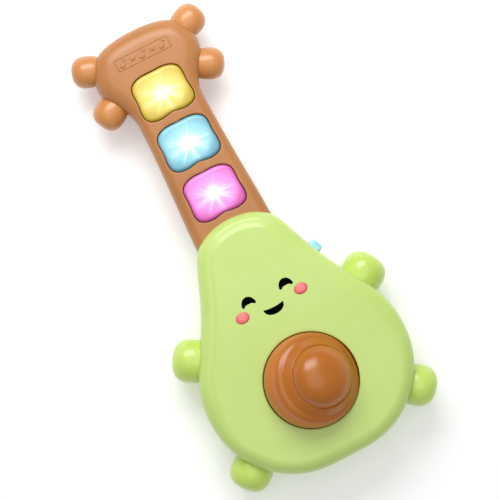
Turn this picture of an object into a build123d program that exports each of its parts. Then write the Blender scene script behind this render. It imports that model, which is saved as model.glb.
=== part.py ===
"""Toy electric guitar in the shape of a smiling fruit, as separate parts. Millimetres.

The guitar lies on its back on z = 0 with its face up. +Y runs to the headstock, +X is the side of
the slide knob, and x = 0, y = 0 is under the middle of the round opening that holds the strum knob.
"""

import os
from math import atan2, cos, degrees, radians, sin, sqrt, tan

from build123d import *

# Body
BODY_HALF_WIDTH = 68.8
BODY_BOTTOM = -54.2
BODY_TOP = 114.6
BODY_DEPTH = 44.0
SEAM = 22.0
WALL = 2.2
FRONT_ROUND = 9.0
BACK_ROUND = 7.0
LIP_HEIGHT = 1.5

# Clearances
FIT = 0.1
SHAFT_GAP = 0.05
RUN_GAP = 0.4

# Neck and headstock
NECK_BACK = 8.0
NECK_FRONT = 36.0
NECK_START = 92.0
NECK_HALF_ROOT = 26.3
NECK_HALF_TOP = 22.7
NECK_ROUND = 6.5
NECK_FLANGE = 2.0
NECK_FLANGE_LENGTH = 2.4
HEAD_HALF_WIDTH = 35.8
HEAD_LENGTH = 57.7
PLAQUE_WIDTH = 37.5
PLAQUE_HEIGHT = 8.3
PLAQUE_RIM = 0.8
PLAQUE_RISE = 0.5

# Buttons
BUTTON_HALF_WIDTH = 17.75
BUTTON_HALF_HEIGHT = 14.75
BUTTON_PITCH = 35.6
FIRST_BUTTON = 132.8
BUTTON_RISE = 2.0
BUTTON_ROUND = 1.7
BUTTON_TRAVEL = 1.8
BUTTON_SKIN = 1.8
TAB_THICK = 1.6
TAB_HALF_WIDTH = 8.0
TAB_REACH = 1.5
BOOT_RADIUS = 9.0
BOOT_SKIN = 1.4

# Pegs and limbs
PEG_RADIUS = 10.7
PEG_ROOT = 9.2
PEG_HALF_LENGTH = 10.3
PEG_FLANGE = 11.0
ARM_RADIUS = 14.0
ARM_ROOT = 13.0
ARM_HALF_LENGTH = 12.4
ARM_SEAT_Y = 41.8
ARM_STAND = 4.9
LEG_RADIUS = 13.5
LEG_ROOT = 11.8
LEG_HALF_LENGTH = 13.0
LEG_SEAT_Y = -32.6
LEG_STAND = 4.0
LIMB_FLANGE = 15.5
ROOT_FLANGE_THICK = 2.0

# Strum knob
OPENING_RADIUS = 30.5
KNOB_RADIUS = 30.1
KNOB_SKIN = 2.4
PIVOT_DEPTH = 1.0
LEAN = 22.0
SKIRT_LOW = -28.0
SKIRT_HIGH = 18.0
RIDGE_RADIUS = 24.6
RIDGE_HEIGHT = 12.6
CONE_TOP = 17.0
DOME_RADIUS = 19.6
DOME_LEDGE = 0.8
DOME_TOP = 29.5
POST_RADIUS = 5.5
POST_FOOT_RADIUS = 14.5
POST_FOOT_THICK = 2.5
POST_PAD = 6.0
PIN_RADIUS = 1.5
RING_INNER = 8.6
RING_OUTER = 11.6
RING_HALF_HEIGHT = 3.0
EAR_INNER = 13.2
EAR_THICK = 3.0
EAR_WIDTH = 7.0

# Boards
BOARD_THICK = 1.6
MAIN_BOARD_Z = 10.4
MAIN_BOARD_RADIUS = 24.0
MAIN_BOARD_RIGHT = 50.0
MAIN_BOARD_LOW = -27.0
MAIN_BOARD_HIGH = 8.0
SWITCH_SIZE = 6.0
SWITCH_HEIGHT = 4.0
NECK_BOARD_HALF_WIDTH = 12.0
NECK_BOARD_Z = 22.0
LAMP_RADIUS = 2.5
LAMP_HEIGHT = 4.0

# Speaker
SPEAKER_X = -38.0
SPEAKER_Y = -10.0
SPEAKER_RADIUS = 18.0
SPEAKER_RIM = 1.6
GRILLE_HOLE = 1.3
GRILLE_PITCH = 5.0

# Batteries and their door
CELL_RADIUS = 5.25
CELL_LENGTH = 44.5
CELL_PITCH = 11.0
CELL_COUNT = 3
CELL_Z = 8.4
BAY_START = 38.0
BAY_END_GAP = 1.75
BAY_TOP = 14.5
BAY_WALL = 1.5
DOOR_MARGIN = 3.0
DOOR_GAP = 0.3
DOOR_SCREW_EDGE = 3.4

# Slide knob
SLIDE_Y = 72.6
SLIDE_LENGTH = 9.4
SLIDE_HEIGHT = 6.0
SLIDE_RISE = 5.2
SLIDE_TRAVEL = 4.0
SLIDE_Z = 18.6

# Screws
SCREW_RADIUS = 1.2
SCREW_HEAD_RADIUS = 2.7
SCREW_HEAD_HEIGHT = 1.8
SCREW_SEAT_Z = 12.0
SCREW_GRIP = 9.0
BOSS_RADIUS = 3.6
SMALL_BOSS = 2.6
WELL_WALL = 1.4

LEAD_RADIUS = 0.7

BODY_LENGTH = BODY_TOP - BODY_BOTTOM
LAST_BUTTON = FIRST_BUTTON + 2 * BUTTON_PITCH
BUTTON_YS = [FIRST_BUTTON + step * BUTTON_PITCH for step in range(3)]
HEAD_BASE = LAST_BUTTON - 13.2
PIVOT_Z = BODY_DEPTH - PIVOT_DEPTH
BAY_HALF_WIDTH = CELL_COUNT * CELL_PITCH / 2 + 0.5
BAY_END = BAY_START + CELL_LENGTH + 2 * BAY_END_GAP
DOOR_SCREW_Y = BAY_END + DOOR_SCREW_EDGE


def mirrored(side):
    """A closed ring of points from its right-hand points, which run from the top to the bottom."""
    return side + [(-x, y) for x, y in reversed(side) if x > 0]


def inset_ring(points, inset):
    """The closed ring of points moved inwards by inset, square to the ring."""
    moved = []
    count = len(points)
    for i, (x, y) in enumerate(points):
        ax, ay = points[i - 1]
        bx, by = points[(i + 1) % count]
        along = sqrt((bx - ax) ** 2 + (by - ay) ** 2)
        moved.append((x + (by - ay) / along * inset, y - (bx - ax) / along * inset))
    return moved


def ring_face(points):
    """A face inside one smooth closed curve through the points."""
    return make_face(Spline(*points, periodic=True))


def prism(face, low, high):
    """The face raised from one height to another."""
    return Pos(0, 0, low) * extrude(face, high - low)


def block(x_low, x_high, y_low, y_high, z_low, z_high):
    """A box between two corners."""
    size = Box(x_high - x_low, y_high - y_low, z_high - z_low)
    return Pos((x_low + x_high) / 2, (y_low + y_high) / 2, (z_low + z_high) / 2) * size


def rod(x, y, radius, low, high):
    """An upright cylinder between two heights."""
    return Pos(x, y, (low + high) / 2) * Cylinder(radius, high - low)


def tube(x, y, radius, bore, low, high):
    """An upright tube between two heights."""
    return rod(x, y, radius, low, high) - rod(x, y, bore, low, high)


# ---- outer forms ----


BODY_SIDE = [
    (0.0, 1.0),
    (0.369, 0.944),
    (0.488, 0.851),
    (0.612, 0.730),
    (0.788, 0.600),
    (0.929, 0.498),
    (1.0, 0.340),
    (0.945, 0.220),
    (0.701, 0.081),
    (0.355, 0.0095),
    (0.0, 0.0),
]
BODY_RING = mirrored([(x * BODY_HALF_WIDTH, BODY_BOTTOM + y * BODY_LENGTH) for x, y in BODY_SIDE])


def body_face(inset):
    """The body's outline, moved in by inset."""
    return ring_face(inset_ring(BODY_RING, inset))


def rounded_body(inset):
    """The body's solid form, or with an inset its hollow."""
    form = prism(body_face(inset), inset, BODY_DEPTH - inset)
    form = fillet(form.edges().group_by(Axis.Z)[-1], FRONT_ROUND - inset)
    return fillet(form.edges().group_by(Axis.Z)[0], BACK_ROUND - inset)


def body_edge(height):
    """The point of the body's right side at a height in y, and the way it faces in degrees."""
    curve = Spline(*BODY_RING, periodic=True)
    low = 0.0
    high = 0.5
    for _ in range(40):
        middle = (low + high) / 2
        if (curve @ middle).Y > height:
            low = middle
        else:
            high = middle
    point = curve @ low
    along = curve % low
    return point.X, point.Y, degrees(atan2(along.X, -along.Y))


def neck_face(inset):
    """The outline of the neck and headstock, moved in by inset. It runs on past the neck's root."""
    wide = HEAD_HALF_WIDTH
    top = HEAD_BASE + HEAD_LENGTH
    root = NECK_HALF_ROOT
    side = [
        (0, top),
        (0.37 * wide, top - 0.9),
        (0.735 * wide, HEAD_BASE + 0.91 * HEAD_LENGTH),
        (0.94 * wide, HEAD_BASE + 0.76 * HEAD_LENGTH),
        (wide, HEAD_BASE + 0.57 * HEAD_LENGTH),
        (0.905 * wide, HEAD_BASE + 22.5),
        (0.735 * wide, HEAD_BASE + 13.5),
        (NECK_HALF_TOP + 0.5, HEAD_BASE + 6.0),
        (NECK_HALF_TOP, HEAD_BASE - 2.0),
        (0.5 * (NECK_HALF_TOP + root), 0.5 * (HEAD_BASE + NECK_START)),
        (root, NECK_START),
        (0.9 * root, NECK_START - 0.6 * root),
        (0.5 * root, NECK_START - root),
        (0, NECK_START - 1.15 * root),
    ]
    return ring_face(inset_ring(mirrored(side), inset))


def rounded_neck(inset):
    """The neck's and headstock's solid form, or with an inset its hollow, open at the root."""
    form = prism(neck_face(inset), NECK_BACK + inset, NECK_FRONT - inset)
    form = fillet(form.edges().group_by(Axis.Z)[-1], NECK_ROUND - inset)
    form = fillet(form.edges().group_by(Axis.Z)[0], NECK_ROUND - inset)
    return form - block(-80, 80, NECK_START - 80, NECK_START, -1, BODY_DEPTH)


def button_face(y, inset):
    """A button's outline: domed top edge, slightly flared sides, two lobes below."""
    wide = BUTTON_HALF_WIDTH
    tall = BUTTON_HALF_HEIGHT
    side = [
        (0, tall),
        (0.62 * wide, 0.955 * tall),
        (0.90 * wide, 0.74 * tall),
        (0.965 * wide, 0.0),
        (wide, -0.45 * tall),
        (0.92 * wide, -0.82 * tall),
        (0.60 * wide, -tall),
        (0.28 * wide, -0.985 * tall),
        (0, -0.93 * tall),
    ]
    ring = inset_ring(mirrored(side), inset)
    return ring_face([(px, py + y) for px, py in ring])


def bulb(place, half_length, radius, root, depth, flange, hollow):
    """A fixed barrel-shaped bulb about X. Its root ends at a flange that the hollow trims."""
    soft = 0.76
    side = Spline(
        (half_length, 0),
        (soft * half_length, soft * radius),
        (0, radius),
        (-depth, root),
        tangents=[(0, 1), (-1, (root - radius) / depth)],
    )
    shape = revolve(make_face(Curve() + [side, Polyline((-depth, root), (-depth, 0), (half_length, 0))]), Axis.X)
    disc = Rot(0, 90, 0) * Cylinder(flange, ROOT_FLANGE_THICK)
    keeper = (place * Pos(-depth - ROOT_FLANGE_THICK / 2, 0, 0) * disc) & hollow
    return place * shape + keeper


def both_sides(name, place_x, place_y, angle, make):
    """A right-hand piece and its mirror image, by name."""
    right = make(Pos(place_x, place_y, SEAM) * Rot(0, 0, angle))
    return {name + "_right": right, name + "_left": mirror(right, Plane.YZ)}


# ---- fasteners ----


def screw(x, y, seat, tip, head=SCREW_HEAD_HEIGHT, up=1):
    """A cross-head screw: its head's underside at seat, its point at tip. up is -1 for one driven down."""
    outer = seat - up * head
    shape = rod(x, y, SCREW_HEAD_RADIUS, min(seat, outer), max(seat, outer))
    shape += rod(x, y, SCREW_RADIUS, min(seat, tip), max(seat, tip))
    deep = outer + up * 0.9
    for wide, tall in ((3.2, 0.8), (0.8, 3.2)):
        shape -= block(
            x - wide / 2, x + wide / 2, y - tall / 2, y + tall / 2, min(outer, deep), max(outer, deep)
        )
    return shape


BODY_SCREWS = [
    (side * x, y)
    for x, y in ((29.0, 82.0), (0.81 * BODY_HALF_WIDTH, 12.0), (0.44 * BODY_HALF_WIDTH, BODY_BOTTOM + 12.2))
    for side in (-1, 1)
]
NECK_SCREWS = [
    (side * x, y)
    for x, y in (
        (17.0, FIRST_BUTTON + BUTTON_PITCH / 2),
        (16.6, FIRST_BUTTON + 1.5 * BUTTON_PITCH),
        (13.0, HEAD_BASE + 0.80 * HEAD_LENGTH),
    )
    for side in (-1, 1)
]
BOARD_POSTS = [(20.0, -22.0), (45.0, -22.0), (45.0, 3.0)]
NECK_POSTS = [FIRST_BUTTON + (step + 0.5) * BUTTON_PITCH for step in range(2)]
POST_SCREWS = [(-10.5, 0.0), (10.5, 0.0)]


# ---- shells ----


def split_shells(outer, hollow):
    """The back half and the front half of a hollow form, parted at the seam."""
    skin = outer - hollow
    big = 400.0
    below = block(-big, big, -big, big, -1.0, SEAM)
    above = block(-big, big, -big, big, SEAM, BODY_DEPTH + 1.0)
    return skin & below, skin & above


def well(x, y, low, radius):
    """The boss round a screw's well in a back shell, up to the seam."""
    return rod(x, y, radius + WELL_WALL, low, SEAM)


def well_bore(x, y, radius):
    """What is cut for a screw's head and shank in a back shell."""
    return rod(x, y, radius, -1.0, SCREW_SEAT_Z) + rod(x, y, SCREW_RADIUS + FIT, SCREW_SEAT_Z, SEAM)


def make_shells(fixed_bulbs):
    body_outer = rounded_body(0)
    body_hollow = rounded_body(WALL)
    neck_outer = rounded_neck(0)
    neck_hollow = rounded_neck(WALL)

    back, front = split_shells(body_outer, body_hollow)
    lip = prism(body_face(WALL / 2 + FIT) - body_face(WALL), SEAM, SEAM + LIP_HEIGHT)
    front -= prism(body_face(WALL / 2), SEAM, SEAM + LIP_HEIGHT + FIT)
    back += lip
    rib_low = NECK_START + NECK_FLANGE_LENGTH
    rib = body_hollow & block(-80, 80, rib_low, rib_low + 2.0, 0, BODY_DEPTH)
    back += rib & block(-80, 80, 0, 200, 0, SEAM)
    front += rib & block(-80, 80, 0, 200, SEAM, BODY_DEPTH)

    head_gap = SCREW_HEAD_RADIUS + RUN_GAP
    for x, y in BODY_SCREWS:
        back += well(x, y, 0, head_gap) & body_outer
        front += rod(x, y, BOSS_RADIUS, SEAM, BODY_DEPTH) & body_outer
    for x, y in BODY_SCREWS:
        back -= well_bore(x, y, head_gap)
        front -= rod(x, y, SCREW_RADIUS, SEAM, SEAM + SCREW_GRIP)

    back += rod(0, 0, POST_FOOT_RADIUS + 0.5, WALL, POST_PAD)
    for x, y in POST_SCREWS:
        back -= rod(x, y, SCREW_RADIUS, WALL, POST_PAD)
    for x, y in BOARD_POSTS:
        back += tube(x, y, SMALL_BOSS, SCREW_RADIUS, WALL, MAIN_BOARD_Z)
    back += tube(SPEAKER_X, SPEAKER_Y, SPEAKER_RADIUS + FIT + BAY_WALL, SPEAKER_RADIUS + FIT, WALL, WALL + 4)
    for row in range(-2, 3):
        for column in range(-2, 3):
            x = (column + row / 2) * GRILLE_PITCH
            y = row * GRILLE_PITCH * 0.866
            if sqrt(x * x + y * y) < 2.3 * GRILLE_PITCH:
                back -= rod(SPEAKER_X + x, SPEAKER_Y + y, GRILLE_HOLE, -1, WALL + 0.5)

    back += battery_bay()
    back -= battery_bay_cuts()
    slot, pocket = slide_cuts()
    back = back - slot
    front = front - pocket

    neck_back, neck_front = split_shells(neck_outer, neck_hollow)
    flange = block(
        -NECK_HALF_ROOT - NECK_FLANGE,
        NECK_HALF_ROOT + NECK_FLANGE,
        NECK_START,
        NECK_START + NECK_FLANGE_LENGTH,
        NECK_BACK - NECK_FLANGE,
        NECK_FRONT + NECK_FLANGE,
    )
    flange -= neck_outer
    neck_back += flange & block(-80, 80, 0, 200, 0, SEAM)
    neck_front += flange & block(-80, 80, 0, 200, SEAM, BODY_DEPTH)
    for x, y in NECK_SCREWS:
        neck_back += well(x, y, NECK_BACK, head_gap) & neck_outer
        neck_front += rod(x, y, SMALL_BOSS, SEAM, NECK_FRONT) & neck_outer
    for x, y in NECK_SCREWS:
        neck_back -= well_bore(x, y, head_gap)
        neck_front -= rod(x, y, SCREW_RADIUS, SEAM, SEAM + SCREW_GRIP)
    for y in NECK_POSTS:
        neck_back += tube(0, y, SMALL_BOSS, SCREW_RADIUS, NECK_BACK + WALL, NECK_BOARD_Z)
    for y in BUTTON_YS:
        neck_front -= prism(button_face(y, -RUN_GAP), SEAM + 5, NECK_FRONT + 1)
    plaque_y = HEAD_BASE + 0.705 * HEAD_LENGTH
    rim = RectangleRounded(PLAQUE_WIDTH, PLAQUE_HEIGHT, 2.0)
    rim -= RectangleRounded(PLAQUE_WIDTH - 2 * PLAQUE_RIM, PLAQUE_HEIGHT - 2 * PLAQUE_RIM, 1.2)
    neck_front += Pos(0, plaque_y, 0) * prism(rim, NECK_FRONT - 0.5, NECK_FRONT + PLAQUE_RISE)

    back -= neck_outer
    front -= neck_outer
    for piece in fixed_bulbs.values():
        back -= piece
        front -= piece
        neck_back -= piece
        neck_front -= piece
    front -= rod(0, 0, OPENING_RADIUS, SEAM, BODY_DEPTH + 1)
    return {
        "body_back_shell": back,
        "body_front_shell": front,
        "neck_back_shell": neck_back,
        "neck_front_shell": neck_front,
    }


# ---- batteries ----


def battery_bay():
    """The bay's ledge and walls, and the boss for the door's screw."""
    half = BAY_HALF_WIDTH + BAY_WALL
    low = BAY_START - BAY_WALL
    high = BAY_END + BAY_WALL
    shape = block(-half, half, low, high, WALL, BAY_TOP + BAY_WALL)
    ledge = BAY_HALF_WIDTH + DOOR_MARGIN + 1.5
    shape += block(-ledge, ledge, BAY_START - DOOR_MARGIN - 1.5, BAY_END + DOOR_MARGIN + 4.5, WALL, WALL + 1.5)
    return shape + rod(0, DOOR_SCREW_Y, SMALL_BOSS, WALL, WALL + 8)


def battery_bay_cuts():
    """The bay's inside, the door's opening and the screw's pilot."""
    cuts = block(-BAY_HALF_WIDTH, BAY_HALF_WIDTH, BAY_START, BAY_END, -1, BAY_TOP)
    cuts += door_plate(-DOOR_GAP, -1, WALL)
    return cuts + rod(0, DOOR_SCREW_Y, SCREW_RADIUS + SHAFT_GAP, 0, WALL + 8)


def door_plate(inset, low, high):
    """The door's plate, moved in by inset."""
    half = BAY_HALF_WIDTH + DOOR_MARGIN - inset
    return block(
        -half,
        half,
        BAY_START - DOOR_MARGIN + inset,
        DOOR_SCREW_Y + DOOR_SCREW_EDGE - 0.6 - inset,
        low,
        high,
    )


def make_battery_parts():
    nodes = {}
    middle = (BAY_START + BAY_END) / 2
    springs = []
    plates = []
    for index in range(CELL_COUNT):
        x = (index - (CELL_COUNT - 1) / 2) * CELL_PITCH
        side = 1 if index % 2 == 0 else -1
        lie = Pos(x, middle, CELL_Z) * Rot(-90 * side, 0, 0)
        can = Cylinder(CELL_RADIUS, CELL_LENGTH - 1.0)
        tip = Pos(0, 0, CELL_LENGTH / 2 - 0.5) * Cylinder(1.9, 1.0)
        nodes[f"battery_{index + 1}"] = lie * (Pos(0, 0, -0.5) * can + Pos(0, 0, -0.5) * tip)
        gap = (BAY_END - BAY_START - CELL_LENGTH) / 2
        inner = CELL_LENGTH / 2
        coil = Pos(0, 0, -inner - gap / 2) * Cone(2.4, 3.6, gap, rotation=(180, 0, 0))
        springs.append(lie * coil)
        pad = Pos(0, 0, inner + gap / 2 - 0.5) * Box(8.0, 8.0, gap + 1.0)
        plates.append(lie * pad - nodes[f"battery_{index + 1}"])
    nodes["battery_springs"] = Compound(children=springs)
    nodes["battery_contact_plates"] = Compound(children=plates)
    door = door_plate(0, 0, WALL - FIT)
    door -= rod(0, DOOR_SCREW_Y, SCREW_HEAD_RADIUS + RUN_GAP, -1, 1.2)
    door -= rod(0, DOOR_SCREW_Y, SCREW_RADIUS + RUN_GAP, 0, WALL)
    for step in range(5):
        groove = BAY_START + 2.0 + step * 2.4
        door -= block(-8, 8, groove, groove + 1.0, -1, 0.5)
    nodes["battery_door"] = door
    nodes["battery_door_screw"] = screw(0, DOOR_SCREW_Y, 1.2, WALL + 7, head=1.0)
    return nodes


# ---- slide knob ----


def slide_place():
    x, y, angle = body_edge(SLIDE_Y)
    return Pos(x, y, SLIDE_Z) * Rot(0, 0, angle)


def slide_cuts():
    """The slot in the back shell's edge, and the pocket behind the lip of the front shell."""
    reach = SLIDE_LENGTH + 2 * SLIDE_TRAVEL + 2 * RUN_GAP
    low = SLIDE_HEIGHT / 2 + RUN_GAP
    slot = slide_place() * block(-5, 5, -reach / 2, reach / 2, -low, SEAM + LIP_HEIGHT + 1 - SLIDE_Z)
    pocket = slide_place() * block(-5, -WALL / 3, -reach / 2, reach / 2, 0, SEAM + LIP_HEIGHT - SLIDE_Z)
    return slot, pocket


def make_slide_parts():
    half = SLIDE_LENGTH / 2
    tall = SLIDE_HEIGHT / 2
    cap = block(-WALL - 0.5, SLIDE_RISE, -half, half, -tall, tall)
    cap = fillet(cap.edges().group_by(Axis.X)[-1], SLIDE_HEIGHT / 2 - 0.3)
    cap += block(-WALL - 3.5, -WALL - 0.5, -1.5, 1.5, -1.5, 1.5)
    case_x = -WALL - 3.9
    case = block(case_x - 6.0, case_x, -8.0, 8.0, -tall, tall)
    legs = [block(case_x - 8.5, case_x - 6.0, y - 0.4, y + 0.4, -0.4, 0.4) for y in (-4, 0, 4)]
    bracket = block(case_x - 6.0, case_x, -8.0, 8.0, WALL - SLIDE_Z, -tall)
    place = slide_place()
    return {
        "slide_knob": place * cap,
        "slide_switch": place * (case + legs),
        "slide_switch_bracket": place * bracket,
    }


# ---- strum knob ----


def on_sphere(radius, elevation):
    return radius * cos(radians(elevation)), radius * sin(radians(elevation))


def turned(line):
    """The solid turned about the pivot's upright axis from a closed outline in x and height."""
    return revolve(Plane.XZ * make_face(line), Axis.Z)


def knob_skirt():
    """The stepped lower part of the knob, with a round skirt centred on the pivot."""
    low = on_sphere(KNOB_RADIUS, SKIRT_LOW)
    middle = on_sphere(KNOB_RADIUS, (SKIRT_LOW + SKIRT_HIGH) / 2)
    high = on_sphere(KNOB_RADIUS, SKIRT_HIGH)
    inner = KNOB_RADIUS - KNOB_SKIN
    inner_low = on_sphere(inner, SKIRT_LOW)
    inner_middle = on_sphere(inner, (SKIRT_LOW + SKIRT_HIGH) / 2)
    inner_high = on_sphere(inner, SKIRT_HIGH)
    cone = DOME_RADIUS + DOME_LEDGE
    ceiling = CONE_TOP - KNOB_SKIN
    under = cone - KNOB_SKIN - 0.8
    outer_side = ThreePointArc(low, middle, high)
    rim = Spline(high, (high[0] - 1.0, high[1] + 1.5), (RIDGE_RADIUS + 1.1, RIDGE_HEIGHT - 0.7))
    ridge = Polyline((RIDGE_RADIUS + 1.1, RIDGE_HEIGHT - 0.7), (RIDGE_RADIUS, RIDGE_HEIGHT), (cone, CONE_TOP))
    roof = Polyline((cone, CONE_TOP), (0, CONE_TOP), (0, ceiling), (under, ceiling))
    lower = Polyline((under, ceiling), (RIDGE_RADIUS - KNOB_SKIN, RIDGE_HEIGHT - 2.4), inner_high)
    inner_side = ThreePointArc(inner_high, inner_middle, inner_low)
    foot = Line(inner_low, low)
    shape = turned(Curve() + [outer_side, rim, ridge, roof, lower, inner_side, foot])
    for side in (-1, 1):
        x = side * (EAR_INNER + EAR_THICK / 2)
        half = EAR_THICK / 2
        shape += block(x - half, x + half, -EAR_WIDTH / 2, EAR_WIDTH / 2, -RING_HALF_HEIGHT - 0.5, ceiling)
    return shape - Rot(0, 90, 0) * Cylinder(PIN_RADIUS, 2 * (EAR_INNER + EAR_THICK))


def dome_side(radius, top):
    """A dome's side, from its foot on the knob's cone to its top."""
    points = []
    for turn in (22.5, 45, 67.5):
        points.append((radius * cos(radians(turn)), CONE_TOP + (top - CONE_TOP) * sin(radians(turn))))
    return Spline((radius, CONE_TOP), *points, (0, top), tangents=[(0, 1), (-1, 0)])


def knob_dome():
    """The round top of the knob, open underneath."""
    inner = DOME_RADIUS - KNOB_SKIN
    outer_side = dome_side(DOME_RADIUS, DOME_TOP)
    inner_side = dome_side(inner, DOME_TOP - KNOB_SKIN)
    middle = Line((0, DOME_TOP), (0, DOME_TOP - KNOB_SKIN))
    return turned(Curve() + [outer_side, middle, inner_side, Line((inner, CONE_TOP), (DOME_RADIUS, CONE_TOP))])


def make_strum_parts():
    tilt = Pos(0, 0, PIVOT_Z) * Rot(0, LEAN, 0)
    cross = Rot(90, 0, 0) * Cylinder(PIN_RADIUS, 2 * RING_OUTER - 0.4)
    bore = Rot(90, 0, 0) * Cylinder(PIN_RADIUS + SHAFT_GAP, 3 * RING_OUTER)
    ring = Cylinder(RING_OUTER, 2 * RING_HALF_HEIGHT) - Cylinder(RING_INNER, 2 * RING_HALF_HEIGHT)
    ring -= bore
    ring -= Rot(0, 0, 90) * bore
    pins = []
    for side in (-1, 1):
        inside = RING_INNER + 0.3
        outside = EAR_INNER + EAR_THICK
        place = Pos(side * (inside + outside) / 2, 0, 0) * Rot(0, 90, 0)
        pins.append(tilt * place * Cylinder(PIN_RADIUS, outside - inside))
    foot_top = POST_PAD + POST_FOOT_THICK
    post = rod(0, 0, POST_FOOT_RADIUS, POST_PAD, foot_top)
    post += rod(0, 0, POST_RADIUS, foot_top, PIVOT_Z + RING_HALF_HEIGHT + 1)
    for x, y in POST_SCREWS:
        post -= rod(x, y, SCREW_RADIUS + FIT, 0, foot_top)
    post -= Pos(0, 0, PIVOT_Z) * cross
    return {
        "strum_post": post,
        "strum_post_screws": Compound(
            children=[screw(x, y, foot_top, POST_PAD - 3.4, head=1.6, up=-1) for x, y in POST_SCREWS]
        ),
        "strum_gimbal_pin": Pos(0, 0, PIVOT_Z) * cross,
        "strum_gimbal_ring": tilt * ring,
        "strum_knob_skirt": tilt * knob_skirt(),
        "strum_knob_dome": tilt * knob_dome(),
        "strum_knob_pins": Compound(children=pins),
    }


# ---- boards and speaker ----


def make_boards():
    top = MAIN_BOARD_Z + BOARD_THICK
    board = rod(0, 0, MAIN_BOARD_RADIUS, MAIN_BOARD_Z, top)
    board += block(0, MAIN_BOARD_RIGHT, MAIN_BOARD_LOW, MAIN_BOARD_HIGH, MAIN_BOARD_Z, top)
    board -= rod(0, 0, POST_RADIUS + RUN_GAP, 0, top)
    for x, y in BOARD_POSTS:
        board -= rod(x, y, SCREW_RADIUS + FIT, 0, top)
    switches = []
    for turn in range(4):
        case = Box(SWITCH_SIZE, SWITCH_SIZE, SWITCH_HEIGHT - 1.0)
        key = Pos(0, 0, SWITCH_HEIGHT / 2) * Cylinder(1.7, 1.0)
        place = Rot(0, 0, 90 * turn) * Pos(19.0, 0, top + (SWITCH_HEIGHT - 1.0) / 2)
        switches.append(place * (case + key))
    lamps = []
    nodes = {"main_board": board, "strum_switches": Compound(children=switches)}
    nodes["board_screws"] = Compound(
        children=[screw(x, y, top, MAIN_BOARD_Z - 6, head=1.4, up=-1) for x, y in BOARD_POSTS]
    )
    nodes["sound_chip"] = block(28, 38, -16, -6, top, top + 1.6)
    nodes["capacitor"] = rod(36, 2, 2.5, top, top + 7)
    neck_top = NECK_BOARD_Z + BOARD_THICK
    neck = block(
        -NECK_BOARD_HALF_WIDTH,
        NECK_BOARD_HALF_WIDTH,
        FIRST_BUTTON - 17,
        LAST_BUTTON + 12,
        NECK_BOARD_Z,
        neck_top,
    )
    for y in NECK_POSTS:
        neck -= rod(0, y, SCREW_RADIUS + FIT, 0, neck_top)
    nodes["neck_board"] = neck
    nodes["neck_board_screws"] = Compound(
        children=[screw(0, y, neck_top, NECK_BOARD_Z - 6, head=1.4, up=-1) for y in NECK_POSTS]
    )
    for y in BUTTON_YS:
        lamp = rod(0, y, LAMP_RADIUS, neck_top, neck_top + LAMP_HEIGHT)
        lamps.append(lamp + Pos(0, y, neck_top + LAMP_HEIGHT) * Sphere(LAMP_RADIUS))
    nodes["button_lamps"] = Compound(children=lamps)
    return nodes


def make_speaker():
    place = Pos(SPEAKER_X, SPEAKER_Y, 0)
    rim_top = WALL + SPEAKER_RIM
    rim = tube(0, 0, SPEAKER_RADIUS, SPEAKER_RADIUS - 3, WALL, rim_top)
    rim += tube(0, 0, SPEAKER_RADIUS - 2.4, SPEAKER_RADIUS - 4.0, WALL, rim_top + 3.0)
    rim += tube(0, 0, SPEAKER_RADIUS - 2.4, 4.0, rim_top + 2.0, rim_top + 3.0)
    magnet = rod(0, 0, 10.0, rim_top + 3.0, rim_top + 5.6)
    cone = Pos(0, 0, WALL + 1.6) * Cone(SPEAKER_RADIUS - 4.2, 4.5, 3.0)
    cone -= Pos(0, 0, WALL + 1.0) * Cone(SPEAKER_RADIUS - 4.4, 4.1, 3.0)
    return {
        "speaker_basket": place * rim,
        "speaker_magnet": place * magnet,
        "speaker_cone": place * cone,
    }


# ---- buttons ----


def make_buttons():
    nodes = {}
    tab_top = NECK_FRONT - WALL
    tab_low = tab_top - TAB_THICK
    face = NECK_FRONT + BUTTON_RISE
    for name, y in zip(("pink", "blue", "yellow"), BUTTON_YS):
        cap = prism(button_face(y, 0), tab_low, face)
        cap = fillet(cap.edges().group_by(Axis.Z)[-1], BUTTON_ROUND)
        reach = BUTTON_HALF_HEIGHT + TAB_REACH
        cap += block(-TAB_HALF_WIDTH, TAB_HALF_WIDTH, y - reach, y + reach, tab_low, tab_top)
        cap -= prism(button_face(y, BUTTON_SKIN), tab_low - 1, face - BUTTON_SKIN)
        cap += tube(0, y, BOOT_RADIUS, BOOT_RADIUS - BOOT_SKIN, tab_low, face - BUTTON_SKIN)
        nodes[f"button_{name}"] = cap
        board_top = NECK_BOARD_Z + BOARD_THICK
        nodes[f"return_boot_{name}"] = tube(0, y, BOOT_RADIUS, BOOT_RADIUS - BOOT_SKIN, board_top, tab_low)
    return nodes


# ---- leads ----


def lead(name, points):
    """A round lead along straight runs and tangent arcs, and a line on its length and arcs."""
    corners = [Vector(*point) for point in points]
    radii = []
    for before, here, after in zip(corners, corners[1:], corners[2:]):
        turn = radians((here - before).get_angle(after - here))
        shorter = min((here - before).length, (after - here).length)
        radii.append(0.45 * shorter / tan(turn / 2))
    path = FilletPolyline(*corners, radius=radii)
    section = Plane(origin=path @ 0, z_dir=path % 0) * Circle(LEAD_RADIUS)
    shape = sweep(section, path=path)
    expected = path.length * section.area
    print(name, "length", round(path.length, 1), "radii", [round(r, 1) for r in radii])
    print(name, "volume", round(shape.volume, 2), "section times length", round(expected, 2))
    return shape


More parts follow.
